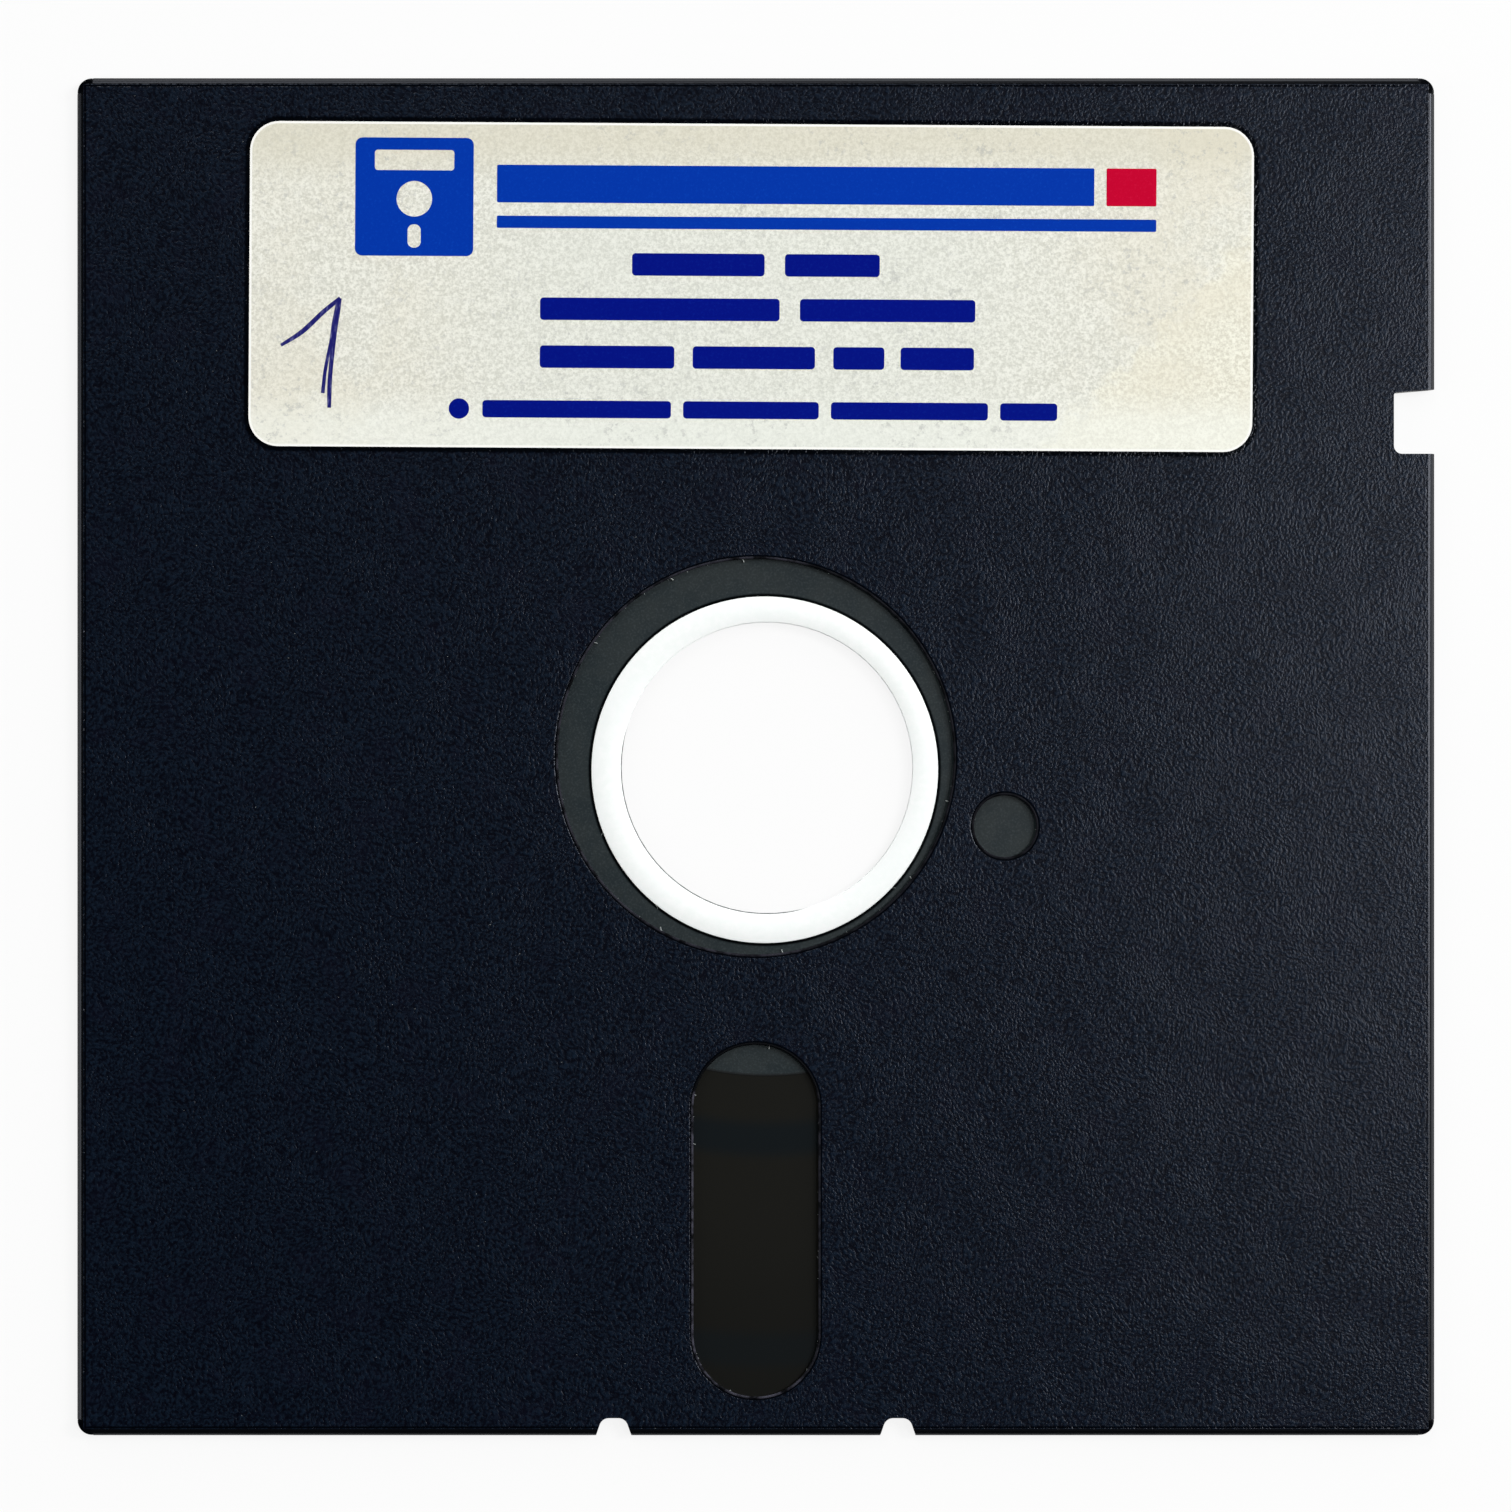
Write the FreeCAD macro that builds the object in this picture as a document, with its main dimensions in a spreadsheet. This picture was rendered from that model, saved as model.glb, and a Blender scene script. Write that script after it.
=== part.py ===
"""A 5.25 inch flexible disk in its folded jacket, lying on its back with the label up.

Millimetres. The origin is the middle of the underside, +X runs towards the write notch,
+Y towards the labelled end and +Z up, out of the labelled face.
"""

import FreeCAD, Part
import math
import os
import re

import Sketcher
from FreeCAD import Vector

# Every size that can be set by itself: its name, its value and what it is.
SIZES = [
    ("jacket_side", 133.35, "outer width and length of the folded jacket"),
    ("corner_radius", 1.4, "rounding of the jacket's four corners"),
    ("corner_inset", 0.12, "how far the edges at a corner lie inside the folds"),
    ("fold_end", 1.6, "distance from a corner at which the folds stop"),
    ("sheet_thickness", 0.25, "vinyl sheet of the jacket"),
    ("flap_width", 12.0, "how far the three flaps reach over the back panel"),
    ("flap_taper", 4.0, "how much a side flap narrows at its lower end"),
    ("edge_gap", 0.05, "from the edges of the back panel to the start of the folds"),
    ("weld_diameter", 1.6, "spot welds that hold the flaps down"),
    ("weld_depth", 0.08, "how deep a spot weld is pressed in"),
    ("weld_pitch", 14.0, "spacing of the spot welds"),
    ("hub_clearance", 2.51, "from the hub ring to the edge of the hub window"),
    ("index_radius", 25.4, "from the middle to the index window, and to the disk's index hole"),
    ("index_window", 6.35, "diameter of the index window"),
    ("index_window_angle", 15.6, "of the index window, clockwise from +X, in degrees"),
    ("slot_start", 28.15, "from the middle to the near end of the head slot"),
    ("slot_margin", 3.73, "from the far end of the head slot to the lower edge"),
    ("slot_width", 12.5, "head slot, across"),
    ("notch_depth", 4.05, "write notch, inwards from the right edge"),
    ("notch_width", 6.35, "write notch, along the edge"),
    ("notch_taper", 0.35, "how much narrower the write notch is at its inner end"),
    ("notch_place", 32.9, "from the middle to the middle of the write notch's mouth"),
    ("upper_rounding", 0.3, "upper inner corner of the write notch"),
    ("lower_rounding", 0.8, "lower inner corner of the write notch"),
    ("relief_place", 13.95, "from the middle to each relief notch in the lower edge"),
    ("relief_depth", 1.75, "relief notches, inwards from the lower edge"),
    ("relief_mouth", 3.5, "relief notches, width at the edge"),
    ("relief_floor", 2.3, "relief notches, width at the bottom before rounding"),
    ("relief_rounding", 0.95, "bottom corners of the relief notches"),
    ("liner_thickness", 0.18, "nonwoven liner on the inside of each panel"),
    ("liner_inset", 0.2, "from the bottom of the relief notches to the edge of the liners"),
    ("liner_corner", 6.0, "corner cut of the liners"),
    ("face_gap", 0.08, "air between each face of the disk and its liner"),
    ("disk_thickness", 0.08, "coated film of the disk"),
    ("disk_play", 1.325, "room round the disk when it lies in the middle of the jacket"),
    ("near_gap", 0.225, "what is left of that room at the right and lower folds"),
    ("hub_bore", 28.575, "bore of the disk, which the drive's spindle enters"),
    ("index_hole", 2.54, "index hole of the disk"),
    ("index_hole_angle", 205.0, "of the index hole as the disk lies, in degrees"),
    ("ring_setback", 0.08, "from the bore of the disk to the bore of the hub ring"),
    ("ring_width", 2.66, "hub ring, from its bore to its rim"),
    ("ring_thickness", 0.2, "hub ring"),
    ("ring_shift_x", -0.23, "the rim was stamped this far off the bore"),
    ("ring_shift_y", -0.2, "the rim was stamped this far off the bore"),
    ("label_width", 98.5, "paper label"),
    ("label_height", 31.9, "paper label"),
    ("label_thickness", 0.1, "paper label"),
    ("label_corner", 2.9, "corner rounding of the label"),
    ("label_margin", 4.6, "from the top edge of the jacket to the label"),
    ("label_shift", -0.45, "of the label from the middle, to the right"),
    ("label_tilt", 0.36, "of the label as it was stuck on, clockwise, in degrees"),
]

# Places and sizes that follow from them, from the back of the stack to its front.
HALF_SIDE = "(jacket_side / 2)"
BACK_PANEL_Z = "sheet_thickness"
BACK_LINER_Z = "(2 * sheet_thickness)"
DISK_Z = f"({BACK_LINER_Z} + liner_thickness + face_gap)"
RING_Z = f"({DISK_Z} + disk_thickness)"
FRONT_LINER_Z = f"({RING_Z} + face_gap)"
FRONT_PANEL_Z = f"({FRONT_LINER_Z} + liner_thickness)"
LABEL_Z = f"({FRONT_PANEL_Z} + sheet_thickness)"

# The side and top folds wrap round the back panel, and the lower fold leads into it.
FLAP_FOLD_RADIUS = f"({LABEL_Z} / 2)"
LOWER_FOLD_RADIUS = f"(({LABEL_Z} - {BACK_PANEL_Z}) / 2)"
FLAP_FOLD_LINE = f"({HALF_SIDE} - {FLAP_FOLD_RADIUS})"
LOWER_FOLD_LINE = f"({HALF_SIDE} - {LOWER_FOLD_RADIUS})"
FOLD_END = f"({HALF_SIDE} - fold_end)"
CORNER_EDGE = f"({HALF_SIDE} - corner_inset)"
FLAP_EDGE = f"({FLAP_FOLD_LINE} - flap_width)"
PANEL_EDGE = f"({FLAP_FOLD_LINE} - edge_gap)"
LINER_EDGE = f"({HALF_SIDE} - relief_depth - liner_inset)"

# The loose disk has slid towards the right and lower folds.
DISK_RADIUS = f"({HALF_SIDE} - sheet_thickness - disk_play)"
DISK_SHIFT = "(disk_play - near_gap)"
RING_BORE_RADIUS = "(hub_bore / 2 + ring_setback)"
RING_RIM_RADIUS = f"({RING_BORE_RADIUS} + ring_width)"
HUB_WINDOW_RADIUS = f"({RING_RIM_RADIUS} + hub_clearance)"

doc = FreeCAD.newDocument("FlexibleDisk")
sheet = doc.addObject("Spreadsheet::Sheet", "Sizes")
for row, (alias, value, meaning) in enumerate(SIZES, start=1):
    sheet.set(f"A{row}", alias)
    sheet.set(f"B{row}", str(value))
    sheet.set(f"C{row}", meaning)
    sheet.setAlias(f"B{row}", alias)
doc.recompute()
NAMES = {alias for alias, value, meaning in SIZES}


def from_sheet(formula):
    """The formula with each size's name turned into its cell."""
    return re.sub(r"[a-z_]+", lambda word: "Sizes." * (word[0] in NAMES) + word[0], str(formula))


def value_of(formula):
    """What the formula comes to now, as a plain number."""
    return float(sheet.evalExpression(from_sheet(formula)))


def bind(thing, prop, formula):
    thing.setExpression(prop, from_sheet(formula))


def new_body(label, x="0", y="0", z="0", turn="0"):
    """An empty body, placed by formulas, that takes the label of its sub-part."""
    body = doc.addObject("PartDesign::Body", label)
    body.Label = label
    bind(body, "Placement.Base.x", x)
    bind(body, "Placement.Base.y", y)
    bind(body, "Placement.Base.z", z)
    bind(body, "Placement.Rotation.Angle", turn)
    return body


def origin_feature(body, role):
    return next(item for item in body.Origin.OriginFeatures if item.Role == role)


def new_sketch(body, name, role="XY_Plane", height="0"):
    """A sketch on one of the body's own planes, raised off it by a height."""
    sketch = body.newObject("Sketcher::SketchObject", name)
    sketch.AttachmentSupport = (origin_feature(body, role), [""])
    sketch.MapMode = "FlatFace"
    bind(sketch, "AttachmentOffset.Base.z", height)
    return sketch


def point_at(x, y):
    return Vector(value_of(x), value_of(y), 0)


def constrain(sketch, kind, *where, to=None):
    """One constraint; to is the formula of a dimension."""
    if to is None:
        return sketch.addConstraint(Sketcher.Constraint(kind, *where))
    number = sketch.addConstraint(Sketcher.Constraint(kind, *where, value_of(to)))
    bind(sketch, f"Constraints[{number}]", to)
    return number


START, END, CENTRE = range(1, 4)  # FreeCAD's numbers for the points of a line or an arc


def pin(sketch, part, end, x, y):
    """Hold one point of the sketch at a place given by formulas."""
    x_axis, y_axis, origin = -1, -2, (-1, 1)
    for kind, axis, place in (("DistanceX", y_axis, x), ("DistanceY", x_axis, y)):
        if place == "0":
            constrain(sketch, "PointOnObject", part, end, axis)
        else:
            constrain(sketch, kind, *origin, part, end, to=place)


def draw_circle(sketch, x, y, radius):
    circle = sketch.addGeometry(Part.Circle(point_at(x, y), Vector(0, 0, 1), value_of(radius)))
    pin(sketch, circle, CENTRE, x, y)
    constrain(sketch, "Radius", circle, to=radius)


def rounding(before, corner, after, radius):
    """The arc that rounds a corner: its two ends and its centre."""
    back = (before - corner).normalize()
    ahead = (after - corner).normalize()
    half_angle = back.getAngle(ahead) / 2
    reach = radius / math.tan(half_angle)
    centre = corner + (back + ahead).normalize() * (radius / math.sin(half_angle))
    return corner + back * reach, corner + ahead * reach, centre


def add_arc(sketch, centre, first, last):
    """The arc of less than half a turn between two points, and whether it runs from first to last."""
    forwards = (first - centre).cross(last - centre).z > 0
    start, end = (first, last) if forwards else (last, first)
    angles = [math.atan2(place.y - centre.y, place.x - centre.x) for place in (start, end)]
    circle = Part.Circle(centre, Vector(0, 0, 1), (first - centre).Length)
    return sketch.addGeometry(Part.ArcOfCircle(circle, *angles)), forwards


def draw_outline(sketch, corners):
    """A closed outline of straight lines. A corner is (x, y), or (x, y, radius) where it is rounded."""
    places = [point_at(*corner[:2]) for corner in corners]
    count = len(corners)
    starts, ends, arcs = {}, {}, {}
    for number, corner in enumerate(corners):
        before = (number - 1) % count
        ends[before] = starts[number] = places[number]
        if len(corner) == 3:
            around = places[before], places[number], places[(number + 1) % count]
            ends[before], starts[number], centre = rounding(*around, value_of(corner[2]))
            arcs[number] = add_arc(sketch, centre, ends[before], starts[number])
    lines = [sketch.addGeometry(Part.LineSegment(starts[k], ends[k])) for k in range(count)]
    for number, corner in enumerate(corners):
        before, after = lines[number - 1], lines[number]
        if number not in arcs:
            constrain(sketch, "Coincident", before, END, after, START)
            pin(sketch, after, START, *corner)
            continue
        arc, forwards = arcs[number]
        entry, leaving = (START, END) if forwards else (END, START)
        constrain(sketch, "Tangent", before, END, arc, entry)
        constrain(sketch, "Tangent", arc, leaving, after, START)
        constrain(sketch, "Radius", arc, to=corner[2])
        tip = sketch.addGeometry(Part.Point(places[number]), True)
        pin(sketch, tip, START, *corner[:2])
        constrain(sketch, "PointOnObject", tip, START, before)
        constrain(sketch, "PointOnObject", tip, START, after)


def draw_fold(sketch, line, height, radius, side):
    """The section of a half-round fold: it bends about a line, outwards to one side, 1 or -1."""
    x, z = value_of(line), value_of(height)
    arcs = []
    for bend in (radius, f"({radius} - sheet_thickness)"):
        circle = Part.Circle(Vector(x, z, 0), Vector(0, 0, 1), value_of(bend))
        turn = 0 if side > 0 else math.pi
        arc = sketch.addGeometry(Part.ArcOfCircle(circle, turn - math.pi / 2, turn + math.pi / 2))
        pin(sketch, arc, CENTRE, line, height)
        constrain(sketch, "Radius", arc, to=bend)
        arcs.append(arc)
    outer, inner = arcs
    for end in (START, END):
        low = sketch.getPoint(outer, end)
        high = sketch.getPoint(inner, end)
        cut = sketch.addGeometry(Part.LineSegment(low, high))
        constrain(sketch, "Coincident", cut, START, outer, end)
        constrain(sketch, "Coincident", cut, END, inner, end)
        constrain(sketch, "Vertical", cut)
        constrain(sketch, "Vertical", outer, CENTRE, outer, end)


def draw_slot(sketch, near, far, width):
    """A slot with round ends along the Y axis; near and far are its ends, far being the lower."""
    half = f"({width} / 2)"
    ends = (f"({near} - {half})", 0.0), (f"({far} + {half})", math.pi)
    caps = []
    for place, turn in ends:
        circle = Part.Circle(point_at("0", place), Vector(0, 0, 1), value_of(half))
        cap = sketch.addGeometry(Part.ArcOfCircle(circle, turn, turn + math.pi))
        pin(sketch, cap, CENTRE, "0", place)
        caps.append(cap)
    upper, lower = caps
    for first, last in ((upper, lower), (lower, upper)):
        points = sketch.getPoint(first, END), sketch.getPoint(last, START)
        side = sketch.addGeometry(Part.LineSegment(*points))
        constrain(sketch, "Tangent", first, END, side, START)
        constrain(sketch, "Tangent", side, END, last, START)
    constrain(sketch, "Radius", upper, to=half)


def pad(body, sketch, length, midplane=False):
    """The sketch made solid, away from its plane or to both sides of it."""
    feature = body.newObject("PartDesign::Pad", sketch.Name + "Pad")
    feature.Profile = sketch
    feature.Midplane = midplane
    feature.Refine = True
    bind(feature, "Length", length)
    doc.recompute()
    return feature


def punch(body, sketch, length=None):
    """The sketch cut out upwards from its plane, right through or to a depth; it must cut something."""
    before = body.Shape.Volume
    feature = body.newObject("PartDesign::Pocket", sketch.Name + "Pocket")
    feature.Profile = sketch
    feature.Reversed = True
    feature.Refine = True
    if length is None:
        feature.Type = "ThroughAll"
    else:
        bind(feature, "Length", length)
    doc.recompute()
    if not body.Shape.Volume < before:
        raise RuntimeError(f"{feature.Name} cuts nothing")
    return feature


def mirror(body, name, *features):
    """The features again on the other side of the middle."""
    before = body.Shape.Volume
    copies = body.newObject("PartDesign::Mirrored", name)
    copies.Originals = list(features)
    copies.MirrorPlane = (origin_feature(body, "YZ_Plane"), [""])
    copies.Refine = True
    body.Tip = copies
    doc.recompute()
    if math.isclose(body.Shape.Volume, before):
        raise RuntimeError(f"{name} adds or cuts nothing")
    return copies


def punch_windows(body):
    """The windows that were punched through the sheet and its liners in one stroke."""
    windows = new_sketch(body, body.Name + "Windows")
    draw_circle(windows, "0", "0", HUB_WINDOW_RADIUS)
    across = "index_radius * cos(index_window_angle)"
    down = "-index_radius * sin(index_window_angle)"
    draw_circle(windows, across, down, "index_window / 2")
    draw_slot(windows, "-slot_start", f"(slot_margin - {HALF_SIDE})", "slot_width")
    punch(body, windows)


def punch_write_notch(body):
    """The notch in the right edge, which tells the drive that it may write."""
    notch = new_sketch(body, body.Name + "WriteNotch")
    inner = f"({HALF_SIDE} - notch_depth)"
    outer = f"({HALF_SIDE} + notch_depth)"
    upper = "(notch_place + notch_width / 2)"
    lower = "(notch_place - notch_width / 2)"
    draw_outline(notch, [
        (inner, lower, "lower_rounding"),
        (outer, lower),
        (outer, f"({upper} + notch_taper)"),
        (inner, f"({upper} - notch_taper)", "upper_rounding"),
    ])
    punch(body, notch)


def front_panel(body):
    """The front of the sheet: square, with an ear at each corner where the folds stop."""
    outline = new_sketch(body, "FrontPanel", height=FRONT_PANEL_Z)
    right, left = FLAP_FOLD_LINE, f"-{FLAP_FOLD_LINE}"
    draw_outline(outline, [
        (FOLD_END, f"-{LOWER_FOLD_LINE}"),
        (FOLD_END, f"-{CORNER_EDGE}"),
        (CORNER_EDGE, f"-{CORNER_EDGE}", "corner_radius"),
        (CORNER_EDGE, f"-{FOLD_END}"),
        (right, f"-{FOLD_END}"),
        (right, FOLD_END),
        (CORNER_EDGE, FOLD_END),
        (CORNER_EDGE, CORNER_EDGE, "corner_radius"),
        (FOLD_END, CORNER_EDGE),
        (FOLD_END, FLAP_FOLD_LINE),
        (f"-{FOLD_END}", FLAP_FOLD_LINE),
        (f"-{FOLD_END}", CORNER_EDGE),
        (f"-{CORNER_EDGE}", CORNER_EDGE, "corner_radius"),
        (f"-{CORNER_EDGE}", FOLD_END),
        (left, FOLD_END),
        (left, f"-{FOLD_END}"),
        (f"-{CORNER_EDGE}", f"-{FOLD_END}"),
        (f"-{CORNER_EDGE}", f"-{CORNER_EDGE}", "corner_radius"),
        (f"-{FOLD_END}", f"-{CORNER_EDGE}"),
        (f"-{FOLD_END}", f"-{LOWER_FOLD_LINE}"),
    ])
    pad(body, outline, "sheet_thickness")


def lower_fold_and_back_panel(body):
    """The sheet doubled over along its lower edge."""
    fold = new_sketch(body, "LowerFold", "YZ_Plane")
    height = f"({BACK_PANEL_Z} + {LOWER_FOLD_RADIUS})"
    draw_fold(fold, f"-{LOWER_FOLD_LINE}", height, LOWER_FOLD_RADIUS, side=-1)
    pad(body, fold, f"2 * {FOLD_END}", midplane=True)
    panel = new_sketch(body, "BackPanel", height=BACK_PANEL_Z)
    draw_outline(panel, [
        (f"-{PANEL_EDGE}", f"-{LOWER_FOLD_LINE}"),
        (PANEL_EDGE, f"-{LOWER_FOLD_LINE}"),
        (PANEL_EDGE, PANEL_EDGE),
        (f"-{PANEL_EDGE}", PANEL_EDGE),
    ])
    pad(body, panel, "sheet_thickness")


def side_flaps(body):
    """The right flap, folded over the back panel and tapered at both ends, and its mirror image."""
    flap = new_sketch(body, "SideFlap")
    draw_outline(flap, [
        (FLAP_FOLD_LINE, f"-{FOLD_END}"),
        (FLAP_FOLD_LINE, FOLD_END),
        (FLAP_EDGE, f"({FOLD_END} - flap_width)"),
        (FLAP_EDGE, f"(flap_taper - {FOLD_END})"),
    ])
    flap_pad = pad(body, flap, "sheet_thickness")
    fold = new_sketch(body, "SideFold", "XZ_Plane")
    draw_fold(fold, FLAP_FOLD_LINE, FLAP_FOLD_RADIUS, FLAP_FOLD_RADIUS, side=1)
    fold_pad = pad(body, fold, f"2 * {FOLD_END}", midplane=True)
    mirror(body, "LeftFlap", flap_pad, fold_pad)


def top_flap(body):
    """The flap that closes the top, mitred to the side flaps."""
    flap = new_sketch(body, "TopFlap")
    draw_outline(flap, [
        (f"-{FOLD_END}", FLAP_FOLD_LINE),
        (f"(flap_width - {FOLD_END})", FLAP_EDGE),
        (f"({FOLD_END} - flap_width)", FLAP_EDGE),
        (FOLD_END, FLAP_FOLD_LINE),
    ])
    pad(body, flap, "sheet_thickness")
    fold = new_sketch(body, "TopFold", "YZ_Plane")
    draw_fold(fold, FLAP_FOLD_LINE, FLAP_FOLD_RADIUS, FLAP_FOLD_RADIUS, side=1)
    pad(body, fold, f"2 * {FOLD_END}", midplane=True)


def relief_notches(body):
    """The two notches in the lower edge that let a drive seat the jacket."""
    notch = new_sketch(body, "ReliefNotch")
    floor = f"(relief_depth - {HALF_SIDE})"
    mouth = f"-{HALF_SIDE}"
    beyond = f"(-{HALF_SIDE} - relief_depth)"
    draw_outline(notch, [
        ("(relief_place - relief_mouth / 2)", beyond),
        ("(relief_place + relief_mouth / 2)", beyond),
        ("(relief_place + relief_mouth / 2)", mouth),
        ("(relief_place + relief_floor / 2)", floor, "relief_rounding"),
        ("(relief_place - relief_floor / 2)", floor, "relief_rounding"),
        ("(relief_place - relief_mouth / 2)", mouth),
    ])
    mirror(body, "LeftRelief", punch(body, notch))


def spot_welds(body):
    """Rows of small round dents, where the flaps were welded to the back panel."""
    row_line = f"({FLAP_FOLD_LINE} - flap_width / 2)"
    reach = value_of(f"{FOLD_END} - flap_width - weld_diameter")
    steps = int(reach // value_of("weld_pitch"))
    dents = new_sketch(body, "SideWelds")
    for step in range(-steps, steps + 1):
        draw_circle(dents, row_line, f"({step} * weld_pitch)" if step else "0", "weld_diameter / 2")
    mirror(body, "LeftWelds", punch(body, dents, "weld_depth"))
    dents = new_sketch(body, "TopWelds")
    for step in range(-steps, steps + 1):
        draw_circle(dents, f"({step} * weld_pitch)" if step else "0", row_line, "weld_diameter / 2")
    punch(body, dents, "weld_depth")


def make_jacket():
    """One vinyl sheet, doubled over at the bottom, with three flaps welded down on the back."""
    body = new_body("jacket")
    front_panel(body)
    lower_fold_and_back_panel(body)
    side_flaps(body)
    top_flap(body)
    punch_windows(body)
    punch_write_notch(body)
    relief_notches(body)
    spot_welds(body)
    return body


def make_liner(label, height):
    """A nonwoven square with cut corners that wipes one face of the disk."""
    body = new_body(label, z=height)
    outline = new_sketch(body, label + "Outline")
    cut = f"({LINER_EDGE} - liner_corner)"
    draw_outline(outline, [
        (cut, f"-{LINER_EDGE}"),
        (LINER_EDGE, f"-{cut}"),
        (LINER_EDGE, cut),
        (cut, LINER_EDGE),
        (f"-{cut}", LINER_EDGE),
        (f"-{LINER_EDGE}", cut),
        (f"-{LINER_EDGE}", f"-{cut}"),
        (f"-{cut}", f"-{LINER_EDGE}"),
    ])
    pad(body, outline, "liner_thickness")
    punch_windows(body)
    punch_write_notch(body)
    return body


def make_disk():
    """The coated film, with the bore for the spindle and the index hole."""
    body = new_body("magnetic_disk", x=DISK_SHIFT, y=f"-{DISK_SHIFT}", z=DISK_Z)
    outline = new_sketch(body, "DiskOutline")
    draw_circle(outline, "0", "0", DISK_RADIUS)
    draw_circle(outline, "0", "0", "hub_bore / 2")
    across = "index_radius * cos(index_hole_angle)"
    up = "index_radius * sin(index_hole_angle)"
    draw_circle(outline, across, up, "index_hole / 2")
    pad(body, outline, "disk_thickness")
    return body


def make_hub_ring():
    """The reinforcing ring on the front of the disk; its rim is a little off its bore."""
    body = new_body("hub_ring", x=DISK_SHIFT, y=f"-{DISK_SHIFT}", z=RING_Z)
    outline = new_sketch(body, "RingOutline")
    draw_circle(outline, "0", "0", RING_BORE_RADIUS)
    draw_circle(outline, "ring_shift_x", "ring_shift_y", RING_RIM_RADIUS)
    pad(body, outline, "ring_thickness")
    return body


def make_label():
    """The paper label near the top edge, stuck on slightly askew."""
    middle = f"({HALF_SIDE} - label_margin - label_height / 2)"
    body = new_body("label", x="label_shift", y=middle, z=LABEL_Z, turn="-label_tilt")
    outline = new_sketch(body, "LabelOutline")
    half_width, half_height = "(label_width / 2)", "(label_height / 2)"
    draw_outline(outline, [
        (f"-{half_width}", f"-{half_height}", "label_corner"),
        (half_width, f"-{half_height}", "label_corner"),
        (half_width, half_height, "label_corner"),
        (f"-{half_width}", half_height, "label_corner"),
    ])
    pad(body, outline, "label_thickness")
    return body


parts = [
    make_jacket(),
    make_liner("back_liner", BACK_LINER_Z),
    make_liner("front_liner", FRONT_LINER_Z),
    make_disk(),
    make_hub_ring(),
    make_label(),
]
doc.recompute()

for item in doc.Objects:
    if "Invalid" in item.State or "Error" in item.State:
        raise RuntimeError(f"{item.Name} did not build: {item.State}")
for part in parts:
    if part.Shape.isNull() or not part.Shape.isValid() or len(part.Shape.Solids) != 1:
        raise RuntimeError(f"{part.Label} is not one sound solid")

os.makedirs("parts", exist_ok=True)
for part in parts:
    part.Shape.exportStep(f"parts/{part.Label}.step")
    box = part.Shape.BoundBox
    spans = f"X {box.XMin:.2f}..{box.XMax:.2f}  Y {box.YMin:.2f}..{box.YMax:.2f}  Z {box.ZMin:.2f}..{box.ZMax:.2f}"
    print(f"{part.Label}: {part.Shape.Volume:.1f} cubic mm, {spans}")
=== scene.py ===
# %% [markdown]
# # A flexible disk in its folded jacket
#
# The photograph looks straight down on a 5.25 inch flexible disk. A square jacket of dark
# grained vinyl holds a loose thin disk, which shows through the round hub window, the long
# head slot and the small index window. A paper label is stuck on near the top edge.
#
# The solid pieces come measured and placed, one object for each. This script gives them
# their finishes and softens the edges of the hub ring. It adds what is too small for the
# solids: the print and the pen figure on the label, the raised lips of the punched windows,
# stray fibres and dust. Then it sets the floor, the room and the lamps round it.

# %% Load the measured pieces
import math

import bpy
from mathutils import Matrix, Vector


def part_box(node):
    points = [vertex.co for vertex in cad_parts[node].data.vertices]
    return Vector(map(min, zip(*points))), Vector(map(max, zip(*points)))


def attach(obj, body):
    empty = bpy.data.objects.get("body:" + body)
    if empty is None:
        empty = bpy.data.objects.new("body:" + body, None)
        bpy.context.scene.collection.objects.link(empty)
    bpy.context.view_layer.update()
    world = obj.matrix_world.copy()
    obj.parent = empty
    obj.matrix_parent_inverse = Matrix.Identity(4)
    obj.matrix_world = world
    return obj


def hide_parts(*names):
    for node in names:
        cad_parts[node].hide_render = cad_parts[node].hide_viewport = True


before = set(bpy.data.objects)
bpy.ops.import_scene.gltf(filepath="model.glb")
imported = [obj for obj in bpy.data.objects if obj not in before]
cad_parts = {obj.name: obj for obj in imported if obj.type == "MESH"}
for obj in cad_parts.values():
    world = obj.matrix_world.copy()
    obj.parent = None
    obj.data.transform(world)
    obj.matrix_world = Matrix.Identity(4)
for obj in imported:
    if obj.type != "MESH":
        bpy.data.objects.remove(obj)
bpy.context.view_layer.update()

# %% [markdown]
# ## Measures
#
# Blender works in metres, and a disk like this is thought of in millimetres. So every size
# below is in millimetres, and `MM` turns it into metres where a mesh is made. Heights are
# read from the solid pieces, so that whatever is laid on the jacket, the label or the disk
# rests on it. The back panel lies on the folded flaps, and both are one sheet thick, so its
# outer face is halfway up to the liner that lies on it.

MM = 0.001
scene = bpy.context.scene

HALF_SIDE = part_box("jacket")[1].x / MM
JACKET_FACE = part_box("jacket")[1].z / MM
LABEL_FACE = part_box("label")[1].z / MM
DISK_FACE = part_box("magnetic_disk")[1].z / MM
LINER_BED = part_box("front_liner")[0].z / MM
BACK_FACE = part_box("back_liner")[0].z / MM / 2

disk_low, disk_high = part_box("magnetic_disk")
DISK_CENTRE = (disk_low + disk_high).to_2d() / 2 / MM
label_low, label_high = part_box("label")
LABEL_CENTRE = (label_low + label_high).to_2d() / 2 / MM
LABEL_TILT = math.radians(-0.36)
LABEL_WIDTH = 98.5
LABEL_HEIGHT = 31.9
LABEL_ROUNDING = 2.9

HUB_WINDOW = 19.54
INDEX_WINDOW = 3.175
INDEX_PLACE = (24.465, -6.831)
SLOT_HALF_WIDTH = 6.25
SLOT_TOP = -34.4
SLOT_BOTTOM = -56.695
RING_BORE = 14.34
BORE_SHIFT = (-0.036, -0.034)
RING_RIM = 17.0275
RIM_SHIFT = (-0.23, -0.2)

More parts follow.
